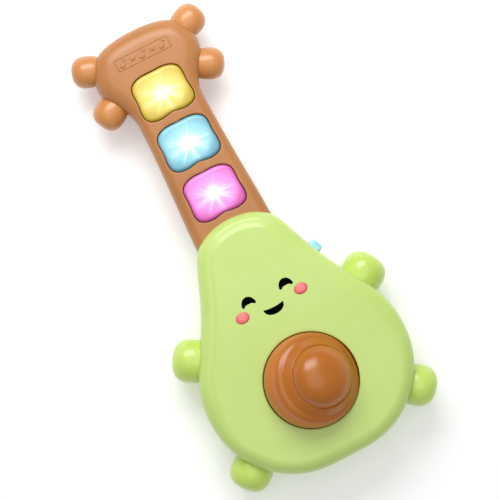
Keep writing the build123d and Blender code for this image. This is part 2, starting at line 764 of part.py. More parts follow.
def make_leads():
    top = MAIN_BOARD_Z + BOARD_THICK
    neck_top = NECK_BOARD_Z + BOARD_THICK
    return {
        "neck_lead": lead(
            "neck_lead",
            [
                (46.5, 6.0, top),
                (46.5, 6.0, 19.0),
                (42.0, 22.0, 26.0),
                (33.0, 44.0, 28.5),
                (20.0, 66.0, 29.5),
                (9.0, 88.0, 29.0),
                (4.5, 104.0, 29.5),
                (5.0, FIRST_BUTTON - 15.2, 29.5),
                (5.0, FIRST_BUTTON - 15.2, neck_top),
            ],
        ),
        "speaker_lead": lead(
            "speaker_lead",
            [
                (12.0, -23.5, top),
                (12.0, -23.5, 16.5),
                (4.0, -30.0, 16.5),
                (-8.0, -32.0, 14.5),
                (-19.0, -28.0, 12.5),
                (-25.4, -21.0, 12.0),
                (-25.4, -21.0, WALL + SPEAKER_RIM),
            ],
        ),
        "battery_lead": lead(
            "battery_lead",
            [
                (14.0, BAY_START - BAY_WALL, 13.0),
                (14.0, BAY_START - 9.0, 13.0),
                (21.0, 18.0, 17.0),
                (29.0, 5.0, 17.5),
                (29.0, 5.0, top),
            ],
        ),
    }


def make_bulbs():
    body_hollow = rounded_body(WALL + FIT)
    neck_hollow = rounded_neck(WALL + FIT)
    nodes = {}
    for name, seat, stand, half_length, radius, root in (
        ("arm", ARM_SEAT_Y, ARM_STAND, ARM_HALF_LENGTH, ARM_RADIUS, ARM_ROOT),
        ("leg", LEG_SEAT_Y, LEG_STAND, LEG_HALF_LENGTH, LEG_RADIUS, LEG_ROOT),
    ):
        x, y, angle = body_edge(seat)
        x += stand * cos(radians(angle))
        y += stand * sin(radians(angle))
        depth = stand + WALL + 0.8
        nodes |= both_sides(
            name,
            x,
            y,
            angle,
            lambda place: bulb(place, half_length, radius, root, depth, LIMB_FLANGE, body_hollow),
        )
    for name, x, y, angle, depth in (
        ("peg_upper", HEAD_HALF_WIDTH + 0.3, HEAD_BASE + 0.825 * HEAD_LENGTH, 19.0, 7.6),
        ("peg_lower", HEAD_HALF_WIDTH - 0.6, HEAD_BASE + 0.303 * HEAD_LENGTH, -27.0, 7.2),
    ):
        nodes |= both_sides(
            name,
            x,
            y,
            angle,
            lambda place: bulb(place, PEG_HALF_LENGTH, PEG_RADIUS, PEG_ROOT, depth, PEG_FLANGE, neck_hollow),
        )
    return nodes


def make_all():
    bulbs = make_bulbs()
    nodes = dict(bulbs)
    nodes |= make_shells(bulbs)
    nodes |= make_battery_parts()
    nodes |= make_slide_parts()
    nodes |= make_strum_parts()
    nodes |= make_boards()
    nodes |= make_speaker()
    nodes |= make_buttons()
    nodes |= make_leads()
    nodes["body_screws"] = Compound(
        children=[screw(x, y, SCREW_SEAT_Z, SEAM + SCREW_GRIP - 0.5) for x, y in BODY_SCREWS]
    )
    nodes["neck_screws"] = Compound(
        children=[screw(x, y, SCREW_SEAT_Z, SEAM + SCREW_GRIP - 0.5) for x, y in NECK_SCREWS]
    )
    return nodes


os.makedirs("parts", exist_ok=True)
for node, shape in make_all().items():
    export_step(shape, f"parts/{node}.step")
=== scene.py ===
"""Looks of the toy electric guitar: a smiling green fruit with a brown neck, lit buttons and a knob.

Objects are in metres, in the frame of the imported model. Sizes below are in millimetres, and MM turns
them into metres.
"""

import math

import bmesh
import bpy
import numpy as np
from mathutils import Matrix, Vector
from mathutils.geometry import delaunay_2d_cdt


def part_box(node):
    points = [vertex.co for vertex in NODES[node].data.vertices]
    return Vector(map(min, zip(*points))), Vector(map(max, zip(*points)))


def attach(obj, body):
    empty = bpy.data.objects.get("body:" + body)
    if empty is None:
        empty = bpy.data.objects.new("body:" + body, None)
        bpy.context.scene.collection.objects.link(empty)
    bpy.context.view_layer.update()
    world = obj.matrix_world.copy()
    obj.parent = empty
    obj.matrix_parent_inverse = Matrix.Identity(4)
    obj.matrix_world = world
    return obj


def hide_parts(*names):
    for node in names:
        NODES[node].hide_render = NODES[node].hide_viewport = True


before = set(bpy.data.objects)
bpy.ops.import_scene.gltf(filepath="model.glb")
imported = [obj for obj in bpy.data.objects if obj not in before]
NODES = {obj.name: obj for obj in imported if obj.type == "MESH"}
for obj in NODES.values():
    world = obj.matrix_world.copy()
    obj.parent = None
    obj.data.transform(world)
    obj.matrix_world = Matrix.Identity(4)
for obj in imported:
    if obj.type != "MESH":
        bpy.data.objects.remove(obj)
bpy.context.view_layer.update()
MM = 0.001

# ---- sizes, in millimetres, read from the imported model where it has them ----


def span(node):
    """A node's lowest and highest corners in millimetres."""
    low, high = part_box(node)
    return [v / MM for v in low], [v / MM for v in high]


BODY_LOW, BODY_HIGH = span("body_front_shell")
HALF_WIDTH = 68.8
BODY_BOTTOM, BODY_TOP = -54.2, 114.6
FACE_Z = BODY_HIGH[2]
SEAM_Z = BODY_LOW[2]
NECK_LOW, NECK_HIGH = span("neck_front_shell")
NECK_START = NECK_LOW[1]
NECK_Z = NECK_HIGH[2] - 0.5
BUTTON_BOXES = {name: span(f"button_{name}") for name in ("yellow", "blue", "pink")}
NECK_HALF_ROOT, NECK_HALF_TOP = 26.3, 22.7
HEAD_HALF_WIDTH = 35.8
HEAD_BASE = 190.8
HEAD_TOP = NECK_HIGH[1]
BUTTON_WIDE, BUTTON_TALL = 17.75, 14.75
BUTTON_GAP = 0.4
CHEEK_X, CHEEK_Y = 20.5, 54.3
CHEEK_WIDE, CHEEK_TALL = 4.5, 3.6
OPENING_RADIUS = 30.5
KNOB_RADIUS, KNOB_INSIDE = 30.1, 27.7
PIVOT_Z = 43.0
LEAN = math.radians(22.0)
SCREW_RADIUS = 1.2
SCREW_HEAD_RADIUS, SCREW_HEAD_HEIGHT = 2.7, 1.8
SKIN = 2.0

# The camera's turn about Z, and the way that it makes point up.
TURN = math.radians(27.3)
UP = Vector((math.sin(TURN), math.cos(TURN), 0))


# ---- curves ----


def mirrored(side):
    """A closed ring of points from its right-hand points, which run from the top to the bottom."""
    return side + [(-x, y) for x, y in reversed(side) if x > 0]


def closed_curve(points, count):
    """Points spaced evenly along the smooth closed curve through the given ones."""
    p = np.array(points, float)
    n = len(p)
    h = np.linalg.norm(np.roll(p, -1, 0) - p, axis=1)
    left = np.zeros((n, n))
    right = np.zeros((n, 2))
    for i in range(n):
        after = (i + 1) % n
        left[i, i - 1] += h[i - 1]
        left[i, i] += 2 * (h[i - 1] + h[i])
        left[i, after] += h[i]
        right[i] = 6 * ((p[after] - p[i]) / h[i] - (p[i] - p[i - 1]) / h[i - 1])
    bend = np.linalg.solve(left, right)
    fine = []
    for i in range(n):
        after = (i + 1) % n
        for t in np.linspace(0, 1, 80, endpoint=False):
            u = h[i] * t
            w = h[i] - u
            cubic = (bend[i] * w**3 + bend[after] * u**3) / (6 * h[i])
            start = (p[i] / h[i] - bend[i] * h[i] / 6) * w
            end = (p[after] / h[i] - bend[after] * h[i] / 6) * u
            fine.append(cubic + start + end)
    fine = np.array(fine + [fine[0]])
    far = np.concatenate([[0], np.cumsum(np.linalg.norm(np.diff(fine, axis=0), axis=1))])
    places = np.linspace(0, far[-1], count, endpoint=False)
    return np.stack([np.interp(places, far, fine[:, k]) for k in (0, 1)], axis=1)


def inward(ring):
    """Unit normals that point into a clockwise ring."""
    along = np.roll(ring, -1, 0) - np.roll(ring, 1, 0)
    along /= np.linalg.norm(along, axis=1)[:, None]
    return np.stack([along[:, 1], -along[:, 0]], axis=1)


def moved_in(ring, inset):
    """The ring moved into itself by an inset, or out of itself by a negative one."""
    return ring + inward(ring) * inset


def edge_distance(points, ring):
    """How far each point is from the ring."""
    a = ring[None, :, :]
    b = np.roll(ring, -1, 0)[None, :, :]
    p = points[:, None, :]
    run = b - a
    t = np.clip(((p - a) * run).sum(2) / (run * run).sum(2), 0, 1)
    return np.sqrt((((a + run * t[:, :, None]) - p) ** 2).sum(2).min(1))


def inside(points, ring):
    """Which points lie inside the ring."""
    x, y = points[:, 0][:, None], points[:, 1][:, None]
    ax, ay = ring[:, 0][None], ring[:, 1][None]
    bx, by = np.roll(ring[:, 0], -1)[None], np.roll(ring[:, 1], -1)[None]
    crosses = (ay > y) != (by > y)
    with np.errstate(divide="ignore", invalid="ignore"):
        at = ax + (y - ay) / (by - ay) * (bx - ax)
    return (np.where(crosses, x < at, False).sum(1) % 2) == 1


def ease(low, high, value):
    """0 below low, 1 above high, smooth between."""
    t = np.clip((value - low) / (high - low), 0, 1)
    return t * t * (3 - 2 * t)


# The body's right-hand side, as shares of its half width and of its length.
BODY_SIDE = [
    (0.0, 1.0),
    (0.369, 0.944),
    (0.488, 0.851),
    (0.612, 0.730),
    (0.788, 0.600),
    (0.929, 0.498),
    (1.0, 0.340),
    (0.945, 0.220),
    (0.701, 0.081),
    (0.355, 0.0095),
    (0.0, 0.0),
]
BODY_LENGTH = BODY_TOP - BODY_BOTTOM
BODY_RING = closed_curve(
    mirrored([(x * HALF_WIDTH, BODY_BOTTOM + y * BODY_LENGTH) for x, y in BODY_SIDE]), 420
)


def neck_ring():
    """The outline of the neck and headstock."""
    wide, root, throat = HEAD_HALF_WIDTH, NECK_HALF_ROOT, NECK_HALF_TOP
    long = HEAD_TOP - HEAD_BASE
    side = [
        (0, HEAD_TOP),
        (0.37 * wide, HEAD_TOP - 0.9),
        (0.735 * wide, HEAD_BASE + 0.91 * long),
        (0.94 * wide, HEAD_BASE + 0.76 * long),
        (wide, HEAD_BASE + 0.57 * long),
        (0.905 * wide, HEAD_BASE + 22.5),
        (0.735 * wide, HEAD_BASE + 13.5),
        (throat + 0.5, HEAD_BASE + 6.0),
        (throat, HEAD_BASE - 2.0),
        (0.5 * (throat + root), 0.5 * (HEAD_BASE + NECK_START)),
        (root, NECK_START),
        (0.9 * root, NECK_START - 0.6 * root),
        (0.5 * root, NECK_START - root),
        (0, NECK_START - 1.15 * root),
    ]
    return closed_curve(mirrored(side), 460)


NECK_RING = neck_ring()


def button_ring(middle):
    """A button's outline, wider at its foot, round a middle height in y."""
    wide, tall = BUTTON_WIDE, BUTTON_TALL
    side = [
        (0, tall),
        (0.62 * wide, 0.955 * tall),
        (0.90 * wide, 0.74 * tall),
        (0.965 * wide, 0.0),
        (wide, -0.45 * tall),
        (0.92 * wide, -0.82 * tall),
        (0.60 * wide, -tall),
        (0.28 * wide, -0.985 * tall),
        (0, -0.93 * tall),
    ]
    return closed_curve([(x, y + middle) for x, y in mirrored(side)], 160)


# ---- shader maths ----


class Val:
    """A shader socket that takes part in Python expressions."""

    def __init__(self, tree, socket):
        self.tree = tree
        self.socket = socket

    def maths(self, operation, *others):
        node = self.tree.nodes.new("ShaderNodeMath")
        node.operation = operation
        for slot, value in zip(node.inputs, others):
            give(self.tree, slot, value)
        return Val(self.tree, node.outputs[0])

    def __add__(self, other):
        return self.maths("ADD", self, other)

    def __radd__(self, other):
        return self.maths("ADD", other, self)

    def __sub__(self, other):
        return self.maths("SUBTRACT", self, other)

    def __rsub__(self, other):
        return self.maths("SUBTRACT", other, self)

    def __mul__(self, other):
        return self.maths("MULTIPLY", self, other)

    def __rmul__(self, other):
        return self.maths("MULTIPLY", other, self)

    def __truediv__(self, other):
        return self.maths("DIVIDE", self, other)

    def __pow__(self, other):
        return self.maths("POWER", self, other)

    def __rpow__(self, other):
        return self.maths("POWER", other, self)

    def __abs__(self):
        return self.maths("ABSOLUTE", self)

    def clamp(self, low=0.0, high=1.0):
        return self.maths("MINIMUM", self.maths("MAXIMUM", self, low), high)

    def step(self, low, high):
        """0 below low, 1 above high, smooth between."""
        t = ((self - low) / (high - low)).clamp()
        return t * t * (3 - 2 * t)

    def bell(self, width):
        """1 at 0, and falling off smoothly over a width."""
        return 2.718 ** (0 - (self / width) ** 2.0)


def give(tree, slot, value):
    """Links a socket's value to a slot, or sets the slot to a constant."""
    if isinstance(value, Val):
        value = value.socket
    if isinstance(value, bpy.types.NodeSocket):
        tree.links.new(value, slot)
    elif slot.type == "RGBA" and isinstance(value, tuple) and len(value) == 3:
        slot.default_value = (*value, 1)
    else:
        slot.default_value = value


def new_node(tree, kind, settings=None, **sockets):
    """A node with its settings and its sockets, given by name or, after an underscore, by number."""
    node = tree.nodes.new(kind)
    for key, value in (settings or {}).items():
        setattr(node, key, value)
    for key, value in sockets.items():
        give(tree, node.inputs[int(key[1:]) if key[0] == "_" else key.replace("_", " ")], value)
    return node


class Finish:
    """A material of this toy, built on the Principled surface."""

    def __init__(self, name):
        self.material = bpy.data.materials.new(name)
        self.material.use_nodes = True
        self.tree = self.material.node_tree
        self.shader = self.tree.nodes["Principled BSDF"]

    def node(self, kind, settings=None, index=0, **sockets):
        """An output of a new node."""
        return Val(self.tree, new_node(self.tree, kind, settings, **sockets).outputs[index])

    def place(self, shift=(0, 0, 0), scale=(1, 1, 1)):
        """Object coordinates in metres, moved and stretched."""
        start = self.node("ShaderNodeTexCoord", None, 3)
        return self.node("ShaderNodeMapping", _0=start, _1=shift, _3=scale)

    def axes(self, place):
        node = new_node(self.tree, "ShaderNodeSeparateXYZ", _0=place)
        return [Val(self.tree, output) for output in node.outputs]

    def vector(self, x, y, z):
        return self.node("ShaderNodeCombineXYZ", X=x, Y=y, Z=z)

    def noise(self, place, scale, detail=2.0, rough=0.5):
        kind = "ShaderNodeTexNoise"
        return self.node(kind, Vector=place, Scale=scale, Detail=detail, Roughness=rough)

    def mix(self, factor, a, b):
        return self.node("ShaderNodeMix", {"data_type": "RGBA"}, 2, _0=factor, _6=a, _7=b)

    def bump(self, height, strength=1.0, distance=1.0):
        return self.node("ShaderNodeBump", Strength=strength, Distance=distance, Height=height)

    def surface(self, **sockets):
        """Sets the surface's sockets and gives back the finished material."""
        for key, value in sockets.items():
            give(self.tree, self.shader.inputs[key.replace("_", " ")], value)
        return self.material


# ---- finishes ----


def knob_side_light_mask(f):
    """Where painted light goes on the strum knob: 1 on its steep skirt, 0 on its upper parts."""
    x, y, z = f.axes(f.place(shift=(0, 0, -PIVOT_Z * MM)))
    across = x * math.cos(LEAN) - z * math.sin(LEAN)
    radius = (across * across + y * y) ** 0.5 / MM
    return radius.step(27.6, 30.0)


def moulded(name, colour, deep, rough, grain, coat, side_light=None):
    """Injection-moulded plastic: slow drifts of tint and gloss, fine texture and a few flow marks.

    On the strum knob, the last argument is painted light: its steep sides are painted a warmer, redder
    brown than the rest.
    """
    f = Finish(name)
    place = f.place()
    cloud = f.noise(place, 22, 3.0)
    flow = f.noise(f.place(scale=(1, 0.18, 1)), 140, 2.0)
    fine = f.noise(place, 1700, 2.0)
    pits = f.noise(place, 420, 1.0)
    tint = f.mix((cloud * 0.75 + flow * 0.25).step(0.3, 0.7), deep, colour)
    # Painted light: the knob's steep sides turn to a warmer, redder brown.
    if side_light:
        tint = f.mix(knob_side_light_mask(f), tint, side_light)
    gloss = rough + (cloud - 0.5) * 0.10 + (fine - 0.5) * 0.08
    skin = fine * 0.00002 * grain + pits * 0.00006 * grain + cloud * 0.0001
    return f.surface(
        Base_Color=tint,
        Roughness=gloss.clamp(0.05, 1.0),
        Normal=f.bump(skin, 0.6, 1.0),
        Coat_Weight=coat,
        Coat_Roughness=0.12,
        IOR=1.5,
    )


def lit_button(name, middle_y, tint, deep, pale):
    """Tinted see-through plastic over a lamp: a white burst with rays, and painted shade that darkens
    the rim, most on its lower right.
    """
    f = Finish(name)
    place = f.place(shift=(0, -middle_y * MM, 0))
    x, y, _ = f.axes(place)
    u = x / (BUTTON_WIDE * MM)
    v = y / (BUTTON_TALL * MM)
    radius = (u * u + v * v) ** 0.5
    far = (x * x + y * y + 1e-8) ** 0.5
    around = f.vector(x / far, y / far, radius * 0.10)
    broad = f.noise(around, 1.9, 1.0)
    narrow = f.noise(around, 4.2, 1.5)
    rays = (broad * 0.5 + narrow * 0.5).step(0.42, 0.62)
    core = radius.bell(0.30)
    haze = radius.bell(0.72)
    reach = 1 - radius.step(0.35, 1.05)
    burst = (core + haze * 0.42 + rays * reach * 0.60).clamp()
    cloud = f.noise(place, 160, 2.0)
    # Painted shade: the rim turns toward the deep tint, most on the lower right; the noise only adds
    # random tone.
    lower_side_shade = (v * -0.5 + u * 0.25 + 0.5).clamp()
    rim = (radius.step(0.62, 1.15) * (0.45 + lower_side_shade * 0.75)).clamp()
    body = f.mix((rim + (cloud - 0.5) * 0.25).clamp(), tint, deep)
    light = f.mix((burst * 1.1).clamp(), body, pale)
    white = f.mix((core * 1.25 + rays * reach * 0.55).clamp(), light, (1, 1, 1))
    # The lamp's glow, dimmed a little by the painted shade at the rim.
    shine = f.mix((burst * 0.85 + 0.22 - rim * 0.12).clamp(), (0, 0, 0), white)
    grain = f.noise(place, 900, 2.0)
    return f.surface(
        Base_Color=f.mix(0.18, body, (0.02, 0.02, 0.02)),
        Roughness=(0.24 + (cloud - 0.5) * 0.12).clamp(0.05, 1.0),
        Emission_Color=shine,
        Emission_Strength=0.72,
        Normal=f.bump(grain * 0.00001 + cloud * 0.00008, 0.5, 1.0),
        Coat_Weight=0.3,
        Coat_Roughness=0.10,
        IOR=1.49,
    )


def printed(name, colour):
    """Pad-printed ink: nearly even, with a faint weave of the pad and softer gloss."""
    f = Finish(name)
    place = f.place()
    cloud = f.noise(place, 300, 3.0)
    return f.surface(
        Base_Color=f.mix(cloud, colour, tuple(c * 1.6 + 0.0008 for c in colour)),
        Roughness=(0.55 + (cloud - 0.5) * 0.15).clamp(),
        Normal=f.bump(cloud * 0.00002, 0.5, 1.0),
        Specular_IOR_Level=0.0,
    )


def cheek_finish():
    """Blush ink on both cheeks, with painted light: a painted highlight keeps it pale pink toward the
    neck, and painted shade makes it redder round its edge and below.
    """
    f = Finish("cheek_blush")
    place = f.place()
    x, y, _ = f.axes(place)
    across = (abs(x) - CHEEK_X * MM) / (CHEEK_WIDE * MM)
    down = (CHEEK_Y * MM - y) / (CHEEK_TALL * MM)
    edge = (across * across + down * down) ** 0.5
    cloud = f.noise(place, 260, 2.0)
    # Painted shade round the edge and lower down, and a painted highlight toward the neck; the noise is
    # random tone.
    cheek_shade = (edge.step(0.25, 1.1) * 0.75 + down * 0.28 + (cloud - 0.5) * 0.2).clamp()
    return f.surface(
        Base_Color=f.mix(cheek_shade, (0.90, 0.23, 0.22), (0.74, 0.065, 0.075)),
        Roughness=0.30 + cloud * 0.06,
        Normal=f.bump(cloud * 0.00003, 0.5, 1.0),
    )


def metal(name, colour, rough):
    """Plated metal with fine drawing marks."""
    f = Finish(name)
    marks = f.noise(f.place(), 600, 3.0)
    dull = f.noise(f.place(), 90, 2.0)
    return f.surface(
        Base_Color=f.mix(dull, colour, tuple(c * 0.75 for c in colour)),
        Metallic=0.95,
        Roughness=(rough + (marks - 0.5) * 0.25).clamp(0.08, 0.9),
        Normal=f.bump(marks * 0.00002, 0.6, 1.0),
    )


def circuit_board():
    """Green solder mask with copper tracks under it and tinned pads."""
    f = Finish("solder_mask")
    place = f.place()
    tracks = {"Scale": 260.0, "Mortar_Size": 0.06, "Mortar_Smooth": 0.1}
    line = f.node("ShaderNodeTexBrick", {"offset": 0.37}, 1, Vector=place, **tracks)
    cell = f.node("ShaderNodeTexVoronoi", Vector=place, Scale=330.0)
    pad = 1 - cell.step(0.16, 0.20)
    green = f.mix(line, (0.012, 0.105, 0.032), (0.03, 0.22, 0.07))
    return f.surface(
        Base_Color=f.mix(pad, green, (0.62, 0.62, 0.58)),
        Metallic=pad * 0.9,
        Roughness=(0.42 - pad * 0.15).clamp(),
        Normal=f.bump((line + pad) * 0.00004, 0.6, 1.0),
    )


def battery_sleeve():
    """A plain cell sleeve: dark, with a copper-coloured band at one end."""
    f = Finish("cell_sleeve")
    place = f.place()
    _, y, _ = f.axes(place)
    band = y.step(0.0735, 0.0740)
    print_grain = f.noise(place, 500, 2.0)
    return f.surface(
        Base_Color=f.mix(band, (0.02, 0.021, 0.024), (0.55, 0.24, 0.07)),
        Metallic=band * 0.7 + 0.1,
        Roughness=0.25 + print_grain * 0.15,
        Coat_Weight=0.3,
    )


def paper_cone():
    """Pressed paper pulp, dark and fibrous."""
    f = Finish("speaker_cone_paper")
    fibres = f.noise(f.place(), 900, 4.0, 0.7)
    return f.surface(
        Base_Color=f.mix(fibres, (0.012, 0.012, 0.012), (0.05, 0.05, 0.048)),
        Roughness=0.8 + fibres * 0.1,
        Normal=f.bump(fibres * 0.0001, 0.8, 1.0),
    )


# Plastics: base tint, deep tint, roughness, grain and coat.
GREEN = moulded("skin_green", (0.555, 0.725, 0.205), (0.515, 0.690, 0.175), 0.36, 0.25, 0.15)
LIMB_GREEN = moulded("limb_green", (0.560, 0.735, 0.150), (0.510, 0.700, 0.115), 0.28, 0.15, 0.30)
BROWN = moulded("neck_brown", (0.500, 0.205, 0.062), (0.440, 0.172, 0.047), 0.40, 0.25, 0.12)
# The pegs are the neck's brown made about a quarter lighter: painted light for the light that falls on
# the pegs.
PEG_BROWN_LIT = moulded("peg_brown", (0.620, 0.265, 0.078), (0.560, 0.228, 0.060), 0.32, 0.15, 0.25)
# Painted light for the strum knob's steep sides: a warmer, redder brown.
KNOB_SIDE_LIGHT = (0.60, 0.145, 0.030)
KNOB_BROWN = moulded(
    "knob_brown", (0.480, 0.150, 0.012), (0.430, 0.124, 0.007), 0.30, 0.15, 0.12, KNOB_SIDE_LIGHT
)
SLIDE_BLUE = moulded("slide_blue", (0.420, 0.780, 0.900), (0.350, 0.720, 0.860), 0.30, 0.15, 0.30)
INNER_WHITE = moulded("inner_white", (0.74, 0.73, 0.68), (0.68, 0.67, 0.62), 0.5, 0.6, 0.0)
BLACK_PART = moulded("moulded_black", (0.020, 0.020, 0.021), (0.012, 0.012, 0.013), 0.45, 0.8, 0.0)
SILICONE = moulded("boot_silicone", (0.68, 0.69, 0.66), (0.60, 0.61, 0.58), 0.55, 0.4, 0.0)
LAMP = moulded("lamp_resin", (0.92, 0.92, 0.90), (0.84, 0.85, 0.84), 0.12, 0.1, 0.6)
LEAD = moulded("lead_cover", (0.030, 0.030, 0.032), (0.018, 0.018, 0.020), 0.42, 0.5, 0.05)
BASKET = moulded("basket_black", (0.05, 0.05, 0.05), (0.03, 0.03, 0.03), 0.5, 0.8, 0.0)

# Metals: tint and roughness.
STEEL = metal("screw_plating", (0.62, 0.61, 0.58), 0.32)
SPRING = metal("contact_plating", (0.72, 0.71, 0.66), 0.24)
CAN = metal("capacitor_can", (0.42, 0.42, 0.48), 0.35)
MAGNET = metal("magnet_ferrite", (0.10, 0.10, 0.10), 0.55)

INK = printed("face_ink", (0.0010, 0.0010, 0.0012))
BLUSH = cheek_finish()
BOARD = circuit_board()
CELL = battery_sleeve()
PAPER = paper_cone()


# ---- mesh helpers ----


def linked(name, data):
    """A new object in the scene that shows the data."""
    piece = bpy.data.objects.new(name, data)
    bpy.context.scene.collection.objects.link(piece)
    return piece


def shaded(name, mesh, smooth):
    """A new object, smooth but for its edges that are sharper than an angle in degrees."""
    mesh.polygons.foreach_set("use_smooth", [True] * len(mesh.polygons))
    mesh.set_sharp_from_angle(angle=math.radians(smooth))
    return linked(name, mesh)


def to_object(name, bm, material, smooth=40.0):
    """A new object at the origin from a mesh in millimetres."""
    mesh = bpy.data.meshes.new(name)
    for vert in bm.verts:
        vert.co *= MM
    bm.to_mesh(mesh)
    bm.free()
    mesh.materials.append(material)
    return shaded(name, mesh, smooth)


def belongs(piece, body, slot, *nodes):
    """Sets the body that a piece moves with and hides the nodes it stands for; slot is not used."""
    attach(piece, body)
    if nodes:
        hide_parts(*nodes)
    return piece


def add_ring(bm, ring, heights):
    """New verts along a ring, each at its own height."""
    return [bm.verts.new((x, y, z)) for (x, y), z in zip(ring, heights)]


def bridge(bm, lower, upper):
    """A band of faces between two rings of verts."""
    count = len(lower)
    for i in range(count):
        j = (i + 1) % count
        bm.faces.new((lower[i], lower[j], upper[j], upper[i]))


def stack(bm, rings):
    """A closed skin over rings of verts, with both ends shut."""
    for lower, upper in zip(rings, rings[1:]):
        bridge(bm, lower, upper)
    bm.faces.new(rings[0])
    bm.faces.new(rings[-1])
    bmesh.ops.recalc_face_normals(bm, faces=bm.faces)


def grid_inside(ring, holes, spacing, edge):
    """Evenly spread points inside a ring and outside its holes, clear of the edges."""
    low, high = ring.min(0), ring.max(0)
    rows = []
    for k, y in enumerate(np.arange(low[1], high[1], spacing * 0.866)):
        xs = np.arange(low[0] + (k % 2) * spacing / 2, high[0], spacing)
        rows.append(np.stack([xs, np.full_like(xs, y)], axis=1))
    points = np.concatenate(rows)
    points = points[inside(points, ring)]
    points = points[edge_distance(points, ring) > edge]
    for hole in holes:
        points = points[~inside(points, hole)]
        points = points[edge_distance(points, hole) > edge]
    return points


def fill_between(bm, outer, holes, height, spacing):
    """Fills from a ring of verts to the rings of its holes with even triangles at a height."""
    ring = np.array([v.co[:2] for v in outer])
    hole_rings = [np.array([v.co[:2] for v in hole]) for hole in holes]
    points = grid_inside(ring, hole_rings, spacing, spacing * 0.6)
    verts = list(outer)
    edges = [(i, (i + 1) % len(outer)) for i in range(len(outer))]
    for hole in holes:
        start = len(verts)
        verts += hole
        edges += [(start + i, start + (i + 1) % len(hole)) for i in range(len(hole))]
    heights = height(points)
    verts += [bm.verts.new((x, y, z)) for (x, y), z in zip(points, heights)]
    flat = [Vector((v.co.x, v.co.y)) for v in verts]
    out = delaunay_2d_cdt(flat, edges, [], 0, 1e-4)
    centres = np.array([np.mean([out[0][i] for i in face], axis=0) for face in out[2]])
    keep = inside(centres, ring)
    for hole_ring in hole_rings:
        keep &= ~inside(centres, hole_ring)
    for face, wanted in zip(out[2], keep):
        if wanted:
            bm.faces.new([verts[out[3][i][0]] for i in face])


def face_up(bm):
    """Makes all faces agree, with those on top facing up."""
    bmesh.ops.recalc_face_normals(bm, faces=bm.faces)
    bm.normal_update()
    if sum(face.normal.z * face.calc_area() for face in bm.faces) < 0:
        bmesh.ops.reverse_faces(bm, faces=bm.faces)


# How a hole's lip turns down into its side: steps out of the side and down from the face.
LIP_STEPS = ((0.5, 0.17), (0.14, 0.54), (0.0, 1.1), (0.0, 3.0))


def moulded_cover(
    name, ring, low, sides, height, insets, holes, spacing, material, cut=None, lip_size=0.7
):
    """A cover with upright sides, a rounded shoulder, holes with rounded lips and a wall's thickness.

    sides are the heights of its upright part and insets the rings of its shoulder. Each hole is an
    outline by its distance out, and its depth. What lies under cut in y is taken off.
    """
    bm = bmesh.new()
    last = add_ring(bm, moved_in(ring, 0.25), [low] * len(ring))
    for z in sides:
        level = add_ring(bm, ring, [z] * len(ring))
        bridge(bm, last, level)
        last = level
    for inset in insets:
        line = moved_in(ring, inset)
        level = add_ring(bm, line, height(line, np.full(len(line), inset)))
        bridge(bm, last, level)
        last = level
    lips = []
    for shape, depth in holes:
        wide = shape(lip_size)
        top = height(wide, edge_distance(wide, ring))
        lip = add_ring(bm, wide, top)
        above = lip
        for out, down in LIP_STEPS:
            level = add_ring(bm, shape(out * lip_size), top - min(down * lip_size, depth))
            bridge(bm, above, level)
            above = level
        lips.append(lip)
    fill_between(bm, last, lips, lambda p: height(p, edge_distance(p, ring)), spacing)
    bmesh.ops.remove_doubles(bm, verts=bm.verts, dist=1e-4)
    if cut is not None:
        geometry = bm.verts[:] + bm.edges[:] + bm.faces[:]
        bmesh.ops.bisect_plane(
            bm, geom=geometry, plane_co=(0, cut, 0), plane_no=(0, 1, 0), clear_inner=True
        )
    face_up(bm)
    piece = to_object(name, bm, material, 50.0)
    wall = piece.modifiers.new("wall", "SOLIDIFY")
    wall.thickness = SKIN * MM
    wall.offset = -1
    return piece


def round_drop(inset, radius):
    """How far a rounded shoulder lies under the face at an inset from the edge."""
    t = np.clip(1 - inset / radius, 0, 1)
    return radius * (1 - (1 - t**2.0) ** 0.5)


def lathe(name, profile, material, matrix, turns=96, smooth=35.0):
    """A solid turned about Z from (radius, height) points, then placed by a matrix in millimetres."""
    bm = bmesh.new()
    rings = []
    for radius, height in profile:
        if radius < 1e-6:
            rings.append([bm.verts.new((0, 0, height))])
            continue
        angles = [2 * math.pi * k / turns for k in range(turns)]
        spots = [(radius * math.cos(a), radius * math.sin(a), height) for a in angles]
        rings.append([bm.verts.new(spot) for spot in spots])
    closed = profile[0][0] > 1e-6 and profile[-1][0] > 1e-6
    pairs = list(zip(rings, rings[1:])) + ([(rings[-1], rings[0])] if closed else [])
    for a, b in pairs:
        for k in range(turns):
            j = (k + 1) % turns
            corners = [a[k % len(a)], a[j % len(a)], b[j % len(b)], b[k % len(b)]]
            unique = list(dict.fromkeys(corners))
            if len(unique) > 2:
                bm.faces.new(unique)
    bmesh.ops.recalc_face_normals(bm, faces=bm.faces)
    bm.transform(matrix)
    return to_object(name, bm, material, smooth)


def rounded_path(points, steps=5):
    """A path through (x, y, radius) points with its corners rounded."""
    path = []
    for i, (x, y, radius) in enumerate(points):
        here = Vector((x, y))
        if radius <= 0 or i in (0, len(points) - 1):
            path.append(tuple(here))
            continue
        back = Vector(points[i - 1][:2]) - here
        ahead = Vector(points[i + 1][:2]) - here
        reach = min(radius, back.length * 0.45, ahead.length * 0.45)
        start = here + back.normalized() * reach
        end = here + ahead.normalized() * reach
        for k in range(steps + 1):
            t = k / steps
            path.append(tuple(start * (1 - t) ** 2 + here * 2 * t * (1 - t) + end * t * t))
    return path


def thick_patch(name, outline, material, surface, spacing=0.7, thick=0.25, smooth=60.0):
    """A thin piece that follows a surface height inside an outline."""
    bm = bmesh.new()
    ring = add_ring(bm, outline, surface(outline))
    fill_between(bm, ring, [], surface, spacing)
    face_up(bm)
    piece = to_object(name, bm, material, smooth)
    wall = piece.modifiers.new("ink_depth", "SOLIDIFY")
    wall.thickness = thick * MM
    wall.offset = -1
    return piece


